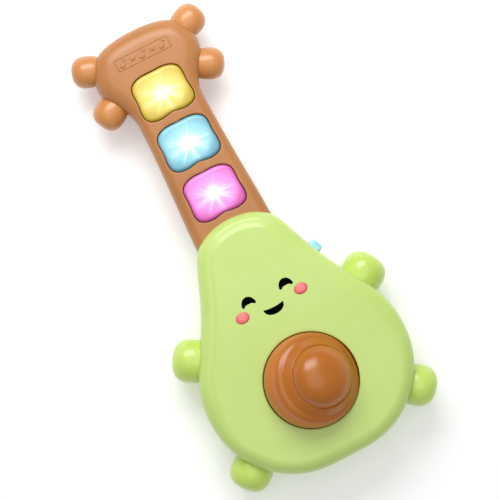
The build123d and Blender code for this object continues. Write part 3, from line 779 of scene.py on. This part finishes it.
def smooth_copy(node, name, material, angle=32.0):
    """A CAD piece's own shape, with its facets joined, and shaded smooth up to its edges."""
    bm = bmesh.new()
    bm.from_mesh(NODES[node].data)
    bmesh.ops.remove_doubles(bm, verts=bm.verts, dist=2e-6)
    for vert in bm.verts:
        vert.co /= MM
    piece = to_object(name, bm, material, angle)
    shading = piece.modifiers.new("even_shading", "WEIGHTED_NORMAL")
    shading.weight = 100
    shading.keep_sharp = True
    return piece


# ---- body ----


SHOULDER = 9.5


def body_height(points, inset):
    """The front's height: rounded shoulder, a faint step round the face, and a soft crown."""
    fade = ease(-30, 55, points[:, 1])
    z = FACE_Z - round_drop(inset, SHOULDER)
    z = z - 0.60 * fade * (1 - ease(8.2, 11.0, inset))
    z = z - 0.32 * fade * np.exp(-(((inset - 7.4) / 1.5) ** 2))
    return z - 0.45 * (1 - ease(9, 34, inset))


def circle(radius, count=160, x=0.0, y=0.0):
    """A clockwise ring of points."""
    angles = -np.arange(count) * 2 * np.pi / count
    return np.stack([x + radius * np.cos(angles), y + radius * np.sin(angles)], axis=1)


def shoulder_insets(radius, start, end, steps):
    """Insets that follow a rounded shoulder evenly, then go on inwards."""
    angles = np.linspace(0, math.pi / 2, steps + 1)
    curve = [radius * (1 - math.cos(a)) for a in angles]
    return [c for c in curve if start < c < end]


def make_body():
    insets = shoulder_insets(SHOULDER, 1e-4, 8.0, 26)
    insets += [8.0 + 0.3 * k for k in range(12)] + [12.2, 13.2]
    sides = [SEAM_Z + 0.25] + list(np.linspace(SEAM_Z + 1.5, FACE_Z - SHOULDER - 1.0, 5))
    opening = (lambda out: circle(OPENING_RADIUS + out), 2.2)
    cover = moulded_cover(
        "body_front_cover", BODY_RING, SEAM_Z, sides, body_height, insets, [opening], 1.7, GREEN
    )
    belongs(cover, "guitar", "body_green", "body_front_shell")
    back = smooth_copy("body_back_shell", "body_back_cover", GREEN)
    belongs(back, "guitar", "body_green", "body_back_shell")
    door = smooth_copy("battery_door", "battery_door_cover", GREEN)
    belongs(door, "battery_door", "body_green", "battery_door")


def face_surface(lift):
    """The height of a print on the body's front."""
    return lambda points: body_height(points, edge_distance(points, BODY_RING)) + lift


def eye_outline(x, y):
    """A happy closed eye: an arch, thick in the middle, with round ends."""
    reach, sag, rise = 3.85, -2.2, 0.35
    tips, swell = 1.0, 1.40
    steps = np.linspace(-1, 1, 25)
    middle = np.array([(reach * t, sag + (rise - sag) * (1 - t * t) ** 0.85) for t in steps])
    along = np.gradient(middle, axis=0)
    along /= np.linalg.norm(along, axis=1)[:, None]
    across = np.stack([-along[:, 1], along[:, 0]], axis=1)
    thick = tips + swell * (1 - steps**2)
    upper = middle + across * thick[:, None]
    lower = middle - across * thick[:, None]
    ends = []
    for end, axis in ((middle[-1], along[-1]), (middle[0], -along[0])):
        side = np.array([-axis[1], axis[0]])
        angles = np.linspace(0.15, math.pi - 0.15, 9)
        ends.append([end + tips * (side * math.cos(a) + axis * math.sin(a)) for a in angles])
    outline = list(upper) + ends[0] + list(lower[::-1]) + ends[1]
    return np.array(outline) + (x, y)


def mouth_outline(y):
    """An open half-moon smile with its corners drawn up."""
    wide, deep = 6.9, 5.1
    top = [(wide * t, 0.35 - 0.85 * (1 - t * t)) for t in np.linspace(-1, 1, 31)]
    angles = np.linspace(0.05, math.pi - 0.05, 41)
    bottom = [(wide * 0.995 * math.cos(a), 0.2 - deep * math.sin(a) ** 0.86) for a in angles]
    return np.array(top + bottom) + (0, y)


def make_face():
    eye_x, eye_y, mouth_y = 13.1, 62.4, 52.2
    for side, name in ((-1, "left"), (1, "right")):
        eye = thick_patch(f"eye_{name}", eye_outline(side * eye_x, eye_y), INK, face_surface(0.10))
        belongs(eye, "guitar", "body_green")
        middle = (side * CHEEK_X, CHEEK_Y)
        ring = circle(1.0, 64) * (CHEEK_WIDE, CHEEK_TALL) + middle

        def cheek_height(points, middle=middle):
            far = (((points - middle) / (CHEEK_WIDE, CHEEK_TALL)) ** 2).sum(1)
            return face_surface(0.08)(points) + 0.75 * np.sqrt(np.clip(1 - far, 0, 1)) ** 1.3

        cheek = thick_patch(f"cheek_{name}", ring, BLUSH, cheek_height, 0.45)
        belongs(cheek, "guitar", "body_green")
    mouth = thick_patch("mouth", mouth_outline(mouth_y), INK, face_surface(0.10))
    belongs(mouth, "guitar", "body_green")


# ---- neck and headstock ----


def neck_height(points, inset):
    """The neck's front: a soft roll across it, and a fuller pillow on the headstock."""
    head = ease(HEAD_BASE - 4, HEAD_BASE + 26, points[:, 1])
    radius = 6.6 + 4.4 * head
    z = NECK_Z - round_drop(inset, radius)
    z = z - (1 - head) * 0.5 * (points[:, 0] / 21.0) ** 2
    return z - 0.55 * head * (1 - ease(6.0, 17.0, inset))


def button_hole(middle):
    """The outline of a button's hole, by its distance out from the hole's side."""
    ring = button_ring(middle)
    return lambda out: moved_in(ring, -BUTTON_GAP - out)


def button_middle(name):
    """The height in y of a button's middle."""
    low, high = BUTTON_BOXES[name]
    return (low[1] + high[1]) / 2


def make_neck():
    holes = [(button_hole(button_middle(name)), 2.2) for name in BUTTON_BOXES]
    insets = shoulder_insets(6.6, 1e-4, 2.9, 22)
    sides = [SEAM_Z + 0.25] + list(np.linspace(SEAM_Z + 1.0, NECK_Z - 11.5, 3))
    cut = NECK_START + 0.5
    cover = moulded_cover(
        "neck_front_cover", NECK_RING, SEAM_Z, sides, neck_height, insets, holes, 1.05, BROWN, cut, 0.45
    )
    belongs(cover, "guitar", "neck_brown", "neck_front_shell")
    back = smooth_copy("neck_back_shell", "neck_back_cover", BROWN)
    belongs(back, "guitar", "neck_brown", "neck_back_shell")


def neck_surface(lift):
    """The height of what stands on the neck's front."""
    return lambda points: neck_height(points, edge_distance(points, NECK_RING)) + lift


def rounded_box(wide, tall, radius, y, steps=6):
    """A clockwise rounded rectangle centred on x = 0 at a height y."""
    points = []
    for cx, cy, start in ((1, 1, 90), (1, -1, 0), (-1, -1, -90), (-1, 1, -180)):
        for k in range(steps + 1):
            a = math.radians(start - 90 * k / steps)
            x = cx * (wide / 2 - radius) + radius * math.cos(a)
            points.append((x, y + cy * (tall / 2 - radius) + radius * math.sin(a)))
    return np.array(points)


def dense(ring, step=1.2):
    """The ring with extra points on its long runs."""
    points = []
    for a, b in zip(ring, np.roll(ring, -1, 0)):
        parts = max(1, int(np.linalg.norm(b - a) / step))
        points += [a + (b - a) * k / parts for k in range(parts)]
    return np.array(points)


def note_outline(x, y):
    """A plain quaver: an oval head, a stem and a flag, run round clockwise."""
    head = [(1.7 * math.cos(a), 1.25 * math.sin(a) - 1.5) for a in np.linspace(-0.15, -5.34, 26)]
    flag = [(1.0, 3.0), (1.75, 3.0), (3.1, 1.7), (2.9, 0.7), (1.75, 1.5), (1.75, -1.3)]
    return np.array(head + flag) + (x - 0.9, y - 0.1)


def make_plaque():
    """A raised border on the headstock, with notes and dots inside it."""
    middle = HEAD_BASE + 0.705 * (HEAD_TOP - HEAD_BASE)
    wide, tall, rim, rise, soft = 37.5, 8.3, 0.8, 0.46, 0.18
    under, side, crest = neck_surface(-0.3), neck_surface(rise - 0.15), neck_surface(rise)
    outer = dense(rounded_box(wide, tall, 1.0, middle))
    inner = dense(rounded_box(wide - 2 * rim, tall - 2 * rim, 0.5, middle))
    bm = bmesh.new()
    outer_foot = add_ring(bm, outer, under(outer))
    outer_side = add_ring(bm, outer, side(outer))
    line = moved_in(outer, soft)
    outer_crest = add_ring(bm, line, crest(line))
    bridge(bm, outer_foot, outer_side)
    bridge(bm, outer_side, outer_crest)
    line = moved_in(inner, -soft)
    inner_crest = add_ring(bm, line, crest(line))
    inner_side = add_ring(bm, inner, side(inner))
    inner_foot = add_ring(bm, inner, under(inner))
    bridge(bm, inner_crest, inner_side)
    bridge(bm, inner_side, inner_foot)
    fill_between(bm, outer_crest, [inner_crest], crest, 0.5)
    fill_between(bm, outer_foot, [inner_foot], under, 0.5)
    bmesh.ops.recalc_face_normals(bm, faces=bm.faces)
    border = to_object("plaque_border", bm, BROWN, 40.0)
    belongs(border, "guitar", "neck_brown")
    pitch, dot_radius = 6.9, 1.5
    for index in range(5):
        x = (index - 2) * pitch
        shape = circle(dot_radius, 28, x, middle) if index % 2 else note_outline(x, middle)
        mark = thick_patch(f"plaque_mark_{index + 1}", shape, BROWN, crest, 0.6, 0.7, 30.0)
        belongs(mark, "guitar", "neck_brown")


# ---- bulbs ----


def edge_place(ring, height):
    """The point on a ring's right side at a height in y, and the angle that it faces."""
    normals = -inward(ring)
    for i, (a, b) in enumerate(zip(ring, np.roll(ring, -1, 0))):
        if a[0] > 0 and b[0] > 0 and (a[1] - height) * (b[1] - height) <= 0:
            t = (height - a[1]) / (b[1] - a[1])
            x, y = a + (b - a) * t
            angle = math.atan2(normals[i][1], normals[i][0])
    return x, y, angle


def bulb_profile(half_length, radius, root, depth):
    """A barrel with a full rounded end, from its tip to its root inside the wall."""
    power = 2 / 2.5
    profile = [(0, half_length)]
    for a in np.linspace(0, math.pi / 2, 30)[1:]:
        profile.append((radius * math.sin(a) ** power, half_length * max(math.cos(a), 0.0) ** power))
    for t in np.linspace(0, 1, 10)[1:]:
        profile.append((radius + (root - radius) * t * t, -depth * t))
    profile.append((0, -depth))
    return profile


def make_bulb(node, x, y, angle, sizes, material, slot):
    """A fixed bulb that stands on the edge and faces along an angle."""
    across = Matrix.Rotation(angle, 4, "Z") @ Matrix.Rotation(math.pi / 2, 4, "Y")
    matrix = Matrix.Translation((x, y, SEAM_Z)) @ across
    piece = lathe(f"{node}_bulb", bulb_profile(*sizes), material, matrix, 72)
    belongs(piece, "guitar", slot, node)


def make_pair(name, x, y, angle, sizes, material, slot):
    """The same bulb on the right side and, mirrored, on the left."""
    make_bulb(f"{name}_right", x, y, angle, sizes, material, slot)
    make_bulb(f"{name}_left", -x, y, math.pi - angle, sizes, material, slot)


def make_bulbs():
    # Name, height of its place in y, how far it stands off the edge, and its sizes, which are
    # half length, radius, root radius and depth in the wall.
    limbs = (("arm", 41.8, 4.9, (12.4, 14.0, 13.0, 7.6)), ("leg", -32.6, 4.0, (13.0, 13.5, 11.8, 6.6)))
    for name, seat, stand, sizes in limbs:
        x, y, angle = edge_place(BODY_RING, seat)
        x += stand * math.cos(angle)
        y += stand * math.sin(angle)
        make_pair(name, x, y, angle, sizes, LIMB_GREEN, "limb_green")
    # Name, place in x, share of the headstock's length, angle and depth in the wall.
    pegs = (("upper", 36.1, 0.825, 19.0, 7.4), ("lower", 35.2, 0.303, -27.0, 7.0))
    for name, x, share, degrees, depth in pegs:
        y = HEAD_BASE + share * (HEAD_TOP - HEAD_BASE)
        sizes = (10.3, 10.3, 9.0, depth)
        make_pair(f"peg_{name}", x, y, math.radians(degrees), sizes, PEG_BROWN_LIT, "peg_brown")


# ---- buttons ----


def make_buttons():
    shoulder = 2.6
    # Each button's tint, the deeper tint of the painted shade at its rim, and the paler one where the
    # lamp shines.
    colours = {
        "yellow": ((0.82, 0.64, 0.12), (0.62, 0.44, 0.025), (1.0, 0.90, 0.42)),
        "blue": ((0.30, 0.66, 0.78), (0.15, 0.43, 0.55), (0.66, 0.93, 1.0)),
        "pink": ((0.96, 0.27, 0.80), (0.72, 0.11, 0.46), (1.0, 0.60, 0.95)),
    }
    for name, (tint, deep, pale) in colours.items():
        low, high = BUTTON_BOXES[name]
        middle = button_middle(name)
        ring = button_ring(middle)
        top = high[2]

        def height(points, inset, top=top):
            return top - round_drop(inset, shoulder) - 0.35 * (1 - ease(2.0, 11.0, inset))

        insets = shoulder_insets(shoulder, 1e-4, 2.55, 12) + [2.7, 3.2, 3.8]
        sides = [low[2] + 0.25, low[2] + 1.6, top - 3.2]
        finish = lit_button(f"button_{name}_glow", middle, tint, deep, pale)
        cap = moulded_cover(f"button_{name}_cap", ring, low[2], sides, height, insets, [], 1.0, finish)
        belongs(cap, f"button_{name}", f"button_{name}", f"button_{name}")


# ---- strum knob ----


def arc(radius, start, end, steps):
    """Points on a circle about the pivot, by elevation in degrees."""
    turns = [math.radians(start + (end - start) * k / steps) for k in range(steps + 1)]
    return [(radius * math.cos(t), radius * math.sin(t)) for t in turns]


def make_knob():
    """The leaning knob: a ball-shaped skirt that steps up to a ledge, and a dome on the ledge."""
    tilt = Matrix.Translation((0, 0, PIVOT_Z)) @ Matrix.Rotation(LEAN, 4, "Y")
    skirt_low, skirt_high, inside_high = -28, 15, 16
    outer = arc(KNOB_RADIUS, skirt_low, skirt_high, 24)
    # Radius, height and corner rounding of the steps from the skirt to the ledge under the dome.
    steps = [(28.4, 10.1, 1.8), (26.5, 11.7, 1.4), (24.9, 12.4, 0.7), (24.0, 13.3, 0.8)]
    bead = [(20.7, 16.8, 0.6), (20.1, 16.95, 0.3), (19.6, 16.6, 0)]
    rise = rounded_path([(*outer[-1], 0)] + steps + bead, 6)[1:]
    roof = [(0.0, 16.6), (0.0, 14.6), (17.2, 14.6), (22.0, 10.4)]
    inner = arc(KNOB_INSIDE, inside_high, skirt_low, 18)
    skirt = lathe("knob_skirt", outer + rise + roof + inner, KNOB_BROWN, tilt, 128, 28)
    belongs(skirt, "strum_knob", "knob_brown", "strum_knob_skirt")
    wide, low, tall = 19.3, 17.0, 12.35
    angles = np.linspace(0.16, math.pi / 2, 40)[:-1]
    dome = [(wide * math.cos(t), low + tall * math.sin(t)) for t in angles] + [(0.0, low + tall)]
    foot = [(0.0, 16.4), (20.0, 16.4), (19.85, 16.85), (19.55, 17.3), (19.3, 17.9), (19.17, 18.4)]
    top = lathe("knob_dome", dome[::-1] + foot[::-1], KNOB_BROWN, tilt, 128, 40)
    belongs(top, "strum_knob", "knob_brown", "strum_knob_dome")


# ---- slide knob ----


def make_slide():
    """The side knob: a pad with shallow grip grooves that stands out of the body's edge."""
    x, y, angle = edge_place(BODY_RING, 72.6)
    low, high = span("slide_knob")
    z = (low[2] + high[2]) / 2
    half_length, half_height, rise, soft = 4.7, 3.0, 5.2, 2.2
    root, shoulder = -2.7, -0.5
    groove_depth, grooves = 0.07, 4
    outline = [(root, half_length)]
    for t in np.linspace(1, -1, 61):
        groove = groove_depth / 2 * (1 - math.cos(t * grooves * 2 * math.pi)) * (1 - t**4)
        out = shoulder + (rise - shoulder) * (1 - abs(t) ** 4) ** 0.34 - groove
        outline.append((out, half_length * t))
    outline = np.array(outline + [(root, -half_length)])
    bm = bmesh.new()
    levels = []
    for a in [math.radians(-90 + 180 * k / 16) for k in range(17)]:
        height = math.copysign(half_height - soft, a) + soft * math.sin(a) if a else 0.0
        ring = moved_in(outline, soft * (1 - math.cos(a)) * 0.8)
        levels.append(add_ring(bm, ring, [height] * len(ring)))
    stack(bm, levels)
    bm.transform(Matrix.Translation((x, y, z)) @ Matrix.Rotation(angle, 4, "Z"))
    knob = to_object("slide_knob_cap", bm, SLIDE_BLUE, 40.0)
    belongs(knob, "slide_knob", "slide_blue", "slide_knob")


# ---- fasteners and springs ----


def screw_tree():
    """A tree that puts a cross-head screw on each point: a head with a cross cut in, and a shank.

    Gives the tree and its inputs' identifiers by name.
    """
    tree = bpy.data.node_groups.new("cross_head_screws", "GeometryNodeTree")
    face = tree.interface
    face.new_socket("Geometry", in_out="OUTPUT", socket_type="NodeSocketGeometry")
    face.new_socket("Geometry", in_out="INPUT", socket_type="NodeSocketGeometry")
    named = {}
    for name in ("Head Radius", "Head Height", "Shank Radius", "Shank Length", "Finish"):
        kind = "NodeSocketMaterial" if name == "Finish" else "NodeSocketFloat"
        named[name] = face.new_socket(name, in_out="INPUT", socket_type=kind).identifier

    def make(kind, settings=None, **sockets):
        return new_node(tree, kind, settings, **sockets).outputs[0]

    given = tree.nodes.new("NodeGroupInput").outputs

    def round_bar(count, radius, length):
        return make("GeometryNodeMeshCylinder", Vertices=count, Radius=radius, Depth=length)

    def share(value, factor):
        return make("ShaderNodeMath", {"operation": "MULTIPLY"}, _0=value, _1=factor)

    def raised(mesh, height):
        place = make("ShaderNodeCombineXYZ", Z=height)
        return make("GeometryNodeTransform", Geometry=mesh, Translation=place)

    head = round_bar(40, given["Head Radius"], given["Head Height"])
    shank = round_bar(24, given["Shank Radius"], given["Shank Length"])
    cut = new_node(tree, "GeometryNodeMeshBoolean", {"operation": "DIFFERENCE"}, _0=head)
    long, narrow, deep = 3.2 * MM, 0.8 * MM, 1.8 * MM
    for size in ((long, narrow, deep), (narrow, long, deep)):
        bar = raised(make("GeometryNodeMeshCube", Size=size), share(given["Head Height"], -0.5))
        tree.links.new(bar, cut.inputs[1])
    whole = new_node(tree, "GeometryNodeJoinGeometry")
    tree.links.new(cut.outputs[0], whole.inputs[0])
    tree.links.new(raised(shank, share(given["Shank Length"], 0.5)), whole.inputs[0])
    points = {"Points": given["Geometry"], "Instance": whole.outputs[0]}
    real = make("GeometryNodeRealizeInstances", Geometry=make("GeometryNodeInstanceOnPoints", **points))
    finish = make("GeometryNodeSetMaterial", Geometry=real, Material=given["Finish"])
    tree.links.new(finish, tree.nodes.new("NodeGroupOutput").inputs[0])
    return tree, named


def grown_mesh(name, points, tree, values):
    """The plain mesh that a tree makes on points in millimetres."""
    seed = bpy.data.meshes.new(name + "_points")
    seed.from_pydata([tuple(v * MM for v in p) for p in points], [], [])
    holder = linked(name + "_holder", seed)
    modifier = holder.modifiers.new("grow", "NODES")
    modifier.node_group = tree
    for identifier, value in values.items():
        modifier[identifier] = value
    bpy.context.view_layer.update()
    graph = bpy.context.evaluated_depsgraph_get()
    made = bpy.data.meshes.new_from_object(holder.evaluated_get(graph))
    holder.modifiers.remove(modifier)
    bpy.data.objects.remove(holder)
    made.name = name
    return shaded(name, made, 35)


def clusters(node, reach):
    """The middles, in x and y, of a node's separate upright solids."""
    groups = []
    for vert in NODES[node].data.vertices:
        x, y = vert.co.x / MM, vert.co.y / MM
        for group in groups:
            if abs(group[0][0] - x) < reach and abs(group[0][1] - y) < reach:
                group.append((x, y))
                break
        else:
            groups.append([(x, y)])
    return [(np.min(group, axis=0) + np.max(group, axis=0)) / 2 for group in groups]


def make_screws():
    tree, named = screw_tree()
    for node in ("body_screws", "neck_screws"):
        low, high = span(node)
        seat = low[2] + SCREW_HEAD_HEIGHT / 2
        spots = [(x, y, seat) for x, y in clusters(node, 6.0)]
        values = {
            named["Head Radius"]: SCREW_HEAD_RADIUS * MM,
            named["Head Height"]: SCREW_HEAD_HEIGHT * MM,
            named["Shank Radius"]: SCREW_RADIUS * MM,
            named["Shank Length"]: (high[2] - seat) * MM,
            named["Finish"]: STEEL,
        }
        piece = grown_mesh(node + "_set", spots, tree, values)
        belongs(piece, "guitar", "steel", node)


def coil(name, start, end, wide_start, wide_end, turns, wire):
    """A closed tube of wire wound from one point to another, from one radius to another."""
    bm = bmesh.new()
    steps = int(turns * 20)
    sides = 8
    round_wire = [2 * math.pi * k / sides for k in range(sides)]
    rings = []
    axis = Vector(end) - Vector(start)
    forward = axis.normalized()
    side = forward.orthogonal().normalized()
    other = forward.cross(side)
    for k in range(steps + 1):
        t = k / steps
        a = 2 * math.pi * turns * t
        radius = wide_start + (wide_end - wide_start) * t
        out = side * math.cos(a) + other * math.sin(a)
        centre = Vector(start) + axis * t + out * radius
        spots = [centre + (out * math.cos(b) + forward * math.sin(b)) * wire for b in round_wire]
        rings.append([bm.verts.new(spot) for spot in spots])
    stack(bm, rings)
    return to_object(name, bm, SPRING, 60.0)


def make_springs():
    """A cone of wire at the flat end of each cell; the cells lie in turns head to tail."""
    low, high = span("battery_springs")
    wide_foot, wide_tip, turns, wire = 3.2, 1.8, 2.5, 0.35
    stand_off = 0.4
    pieces = []
    for index in range(3):
        box = span(f"battery_{index + 1}")
        x = (box[0][0] + box[1][0]) / 2
        z = (box[0][2] + box[1][2]) / 2
        start, end = (low[1], box[0][1]) if index % 2 == 0 else (high[1], box[1][1])
        away = stand_off if end > start else -stand_off
        foot, tip = (x, start + away, z), (x, end - away, z)
        name = f"battery_spring_{index + 1}"
        pieces.append(coil(name, foot, tip, wide_foot, wide_tip, turns, wire))
    for piece in pieces:
        belongs(piece, "guitar", "spring_steel")
    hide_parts("battery_springs")


# ---- what stays as the CAD made it ----


KEPT = {
    BOARD: "main_board neck_board",
    LAMP: "button_lamps",
    STEEL: "neck_board_screws board_screws strum_post_screws battery_door_screw strum_gimbal_pin "
    "strum_knob_pins",
    INNER_WHITE: "strum_post strum_gimbal_ring slide_switch_bracket",
    BLACK_PART: "strum_switches sound_chip slide_switch",
    CAN: "capacitor",
    BASKET: "speaker_basket",
    MAGNET: "speaker_magnet",
    PAPER: "speaker_cone",
    CELL: "battery_1 battery_2 battery_3",
    SPRING: "battery_contact_plates",
    LEAD: "neck_lead speaker_lead battery_lead",
    SILICONE: "return_boot_yellow return_boot_blue return_boot_pink",
}


def dress_kept():
    """Gives each piece that stays as it was packed its own finish."""
    for material, names in KEPT.items():
        for piece in [NODES[name] for name in names.split()]:
            if not piece.material_slots:
                piece.data.materials.append(material)
            for slot in piece.material_slots:
                slot.material = material


# ---- floor, light and camera ----


def panel(name, place, aim, size, power):
    """A rectangular lamp that faces a point."""
    lamp = bpy.data.lights.new(name, "AREA")
    lamp.shape = "RECTANGLE"
    lamp.size, lamp.size_y = size
    lamp.energy = power
    holder = linked(name, lamp)
    holder.location = place
    holder.rotation_euler = (aim - place).to_track_quat("-Z", "Y").to_euler()


def make_floor():
    """A white sheet just under the toy, with a little light of its own."""
    bm = bmesh.new()
    bmesh.ops.create_grid(bm, x_segments=1, y_segments=1, size=3000.0)
    bm.transform(Matrix.Translation((0, 0, -0.1)))
    f = Finish("paper_floor")
    weave = f.noise(f.place(), 120, 2.0)
    f.surface(
        Base_Color=f.mix(weave, (0.86, 0.86, 0.87), (0.89, 0.89, 0.90)),
        Roughness=0.8 + weave * 0.1,
        Emission_Color=(1.0, 1.0, 1.0),
        Emission_Strength=0.22,
    )
    to_object("floor", bm, f.material)


def make_stage():
    """The floor, an even white room, a near lamp above the neck's side and a broad one overhead."""
    make_floor()
    world = bpy.data.worlds.new("soft_room")
    bpy.context.scene.world = world
    world.use_nodes = True
    background = world.node_tree.nodes["Background"]
    background.inputs["Color"].default_value = (1.0, 1.0, 1.0, 1)
    background.inputs["Strength"].default_value = 0.40
    middle = Vector((0.0, 0.09, 0.04))
    side = Vector((UP.y, -UP.x, 0))
    key_place = middle + UP * 0.52 - side * 0.16 + Vector((0, 0, 0.58))
    panel("key_panel", key_place, middle, (0.6, 0.4), 4.9)
    panel("top_panel", middle + Vector((0, 0, 1.6)), middle, (1.4, 1.4), 7.0)


def make_camera():
    """A long lens straight over the face, turned so that the neck leans to the left."""
    aim = Vector((0.0032, 0.0902, FACE_Z * MM))
    far, seen_width, sensor_width = 1.25, 0.3135, 36.0
    tip = math.radians(2.2)
    away = Matrix.Rotation(-tip, 3, Vector((0, 1, 0))) @ Vector((0, 0, 1))
    across = UP.cross(away).normalized()
    real_up = away.cross(across).normalized()
    turn = Matrix((across, real_up, away)).transposed().to_4x4()
    data = bpy.data.cameras.new("camera")
    data.sensor_width = sensor_width
    data.lens = sensor_width * far / seen_width
    camera = linked("camera", data)
    camera.matrix_world = Matrix.Translation(aim + away * far) @ turn
    bpy.context.scene.camera = camera
    bpy.context.scene.view_settings.view_transform = "Standard"


make_camera()
make_stage()
make_body()
make_face()
make_neck()
make_plaque()
make_bulbs()
make_buttons()
make_knob()
make_slide()
make_screws()
make_springs()
dress_kept()
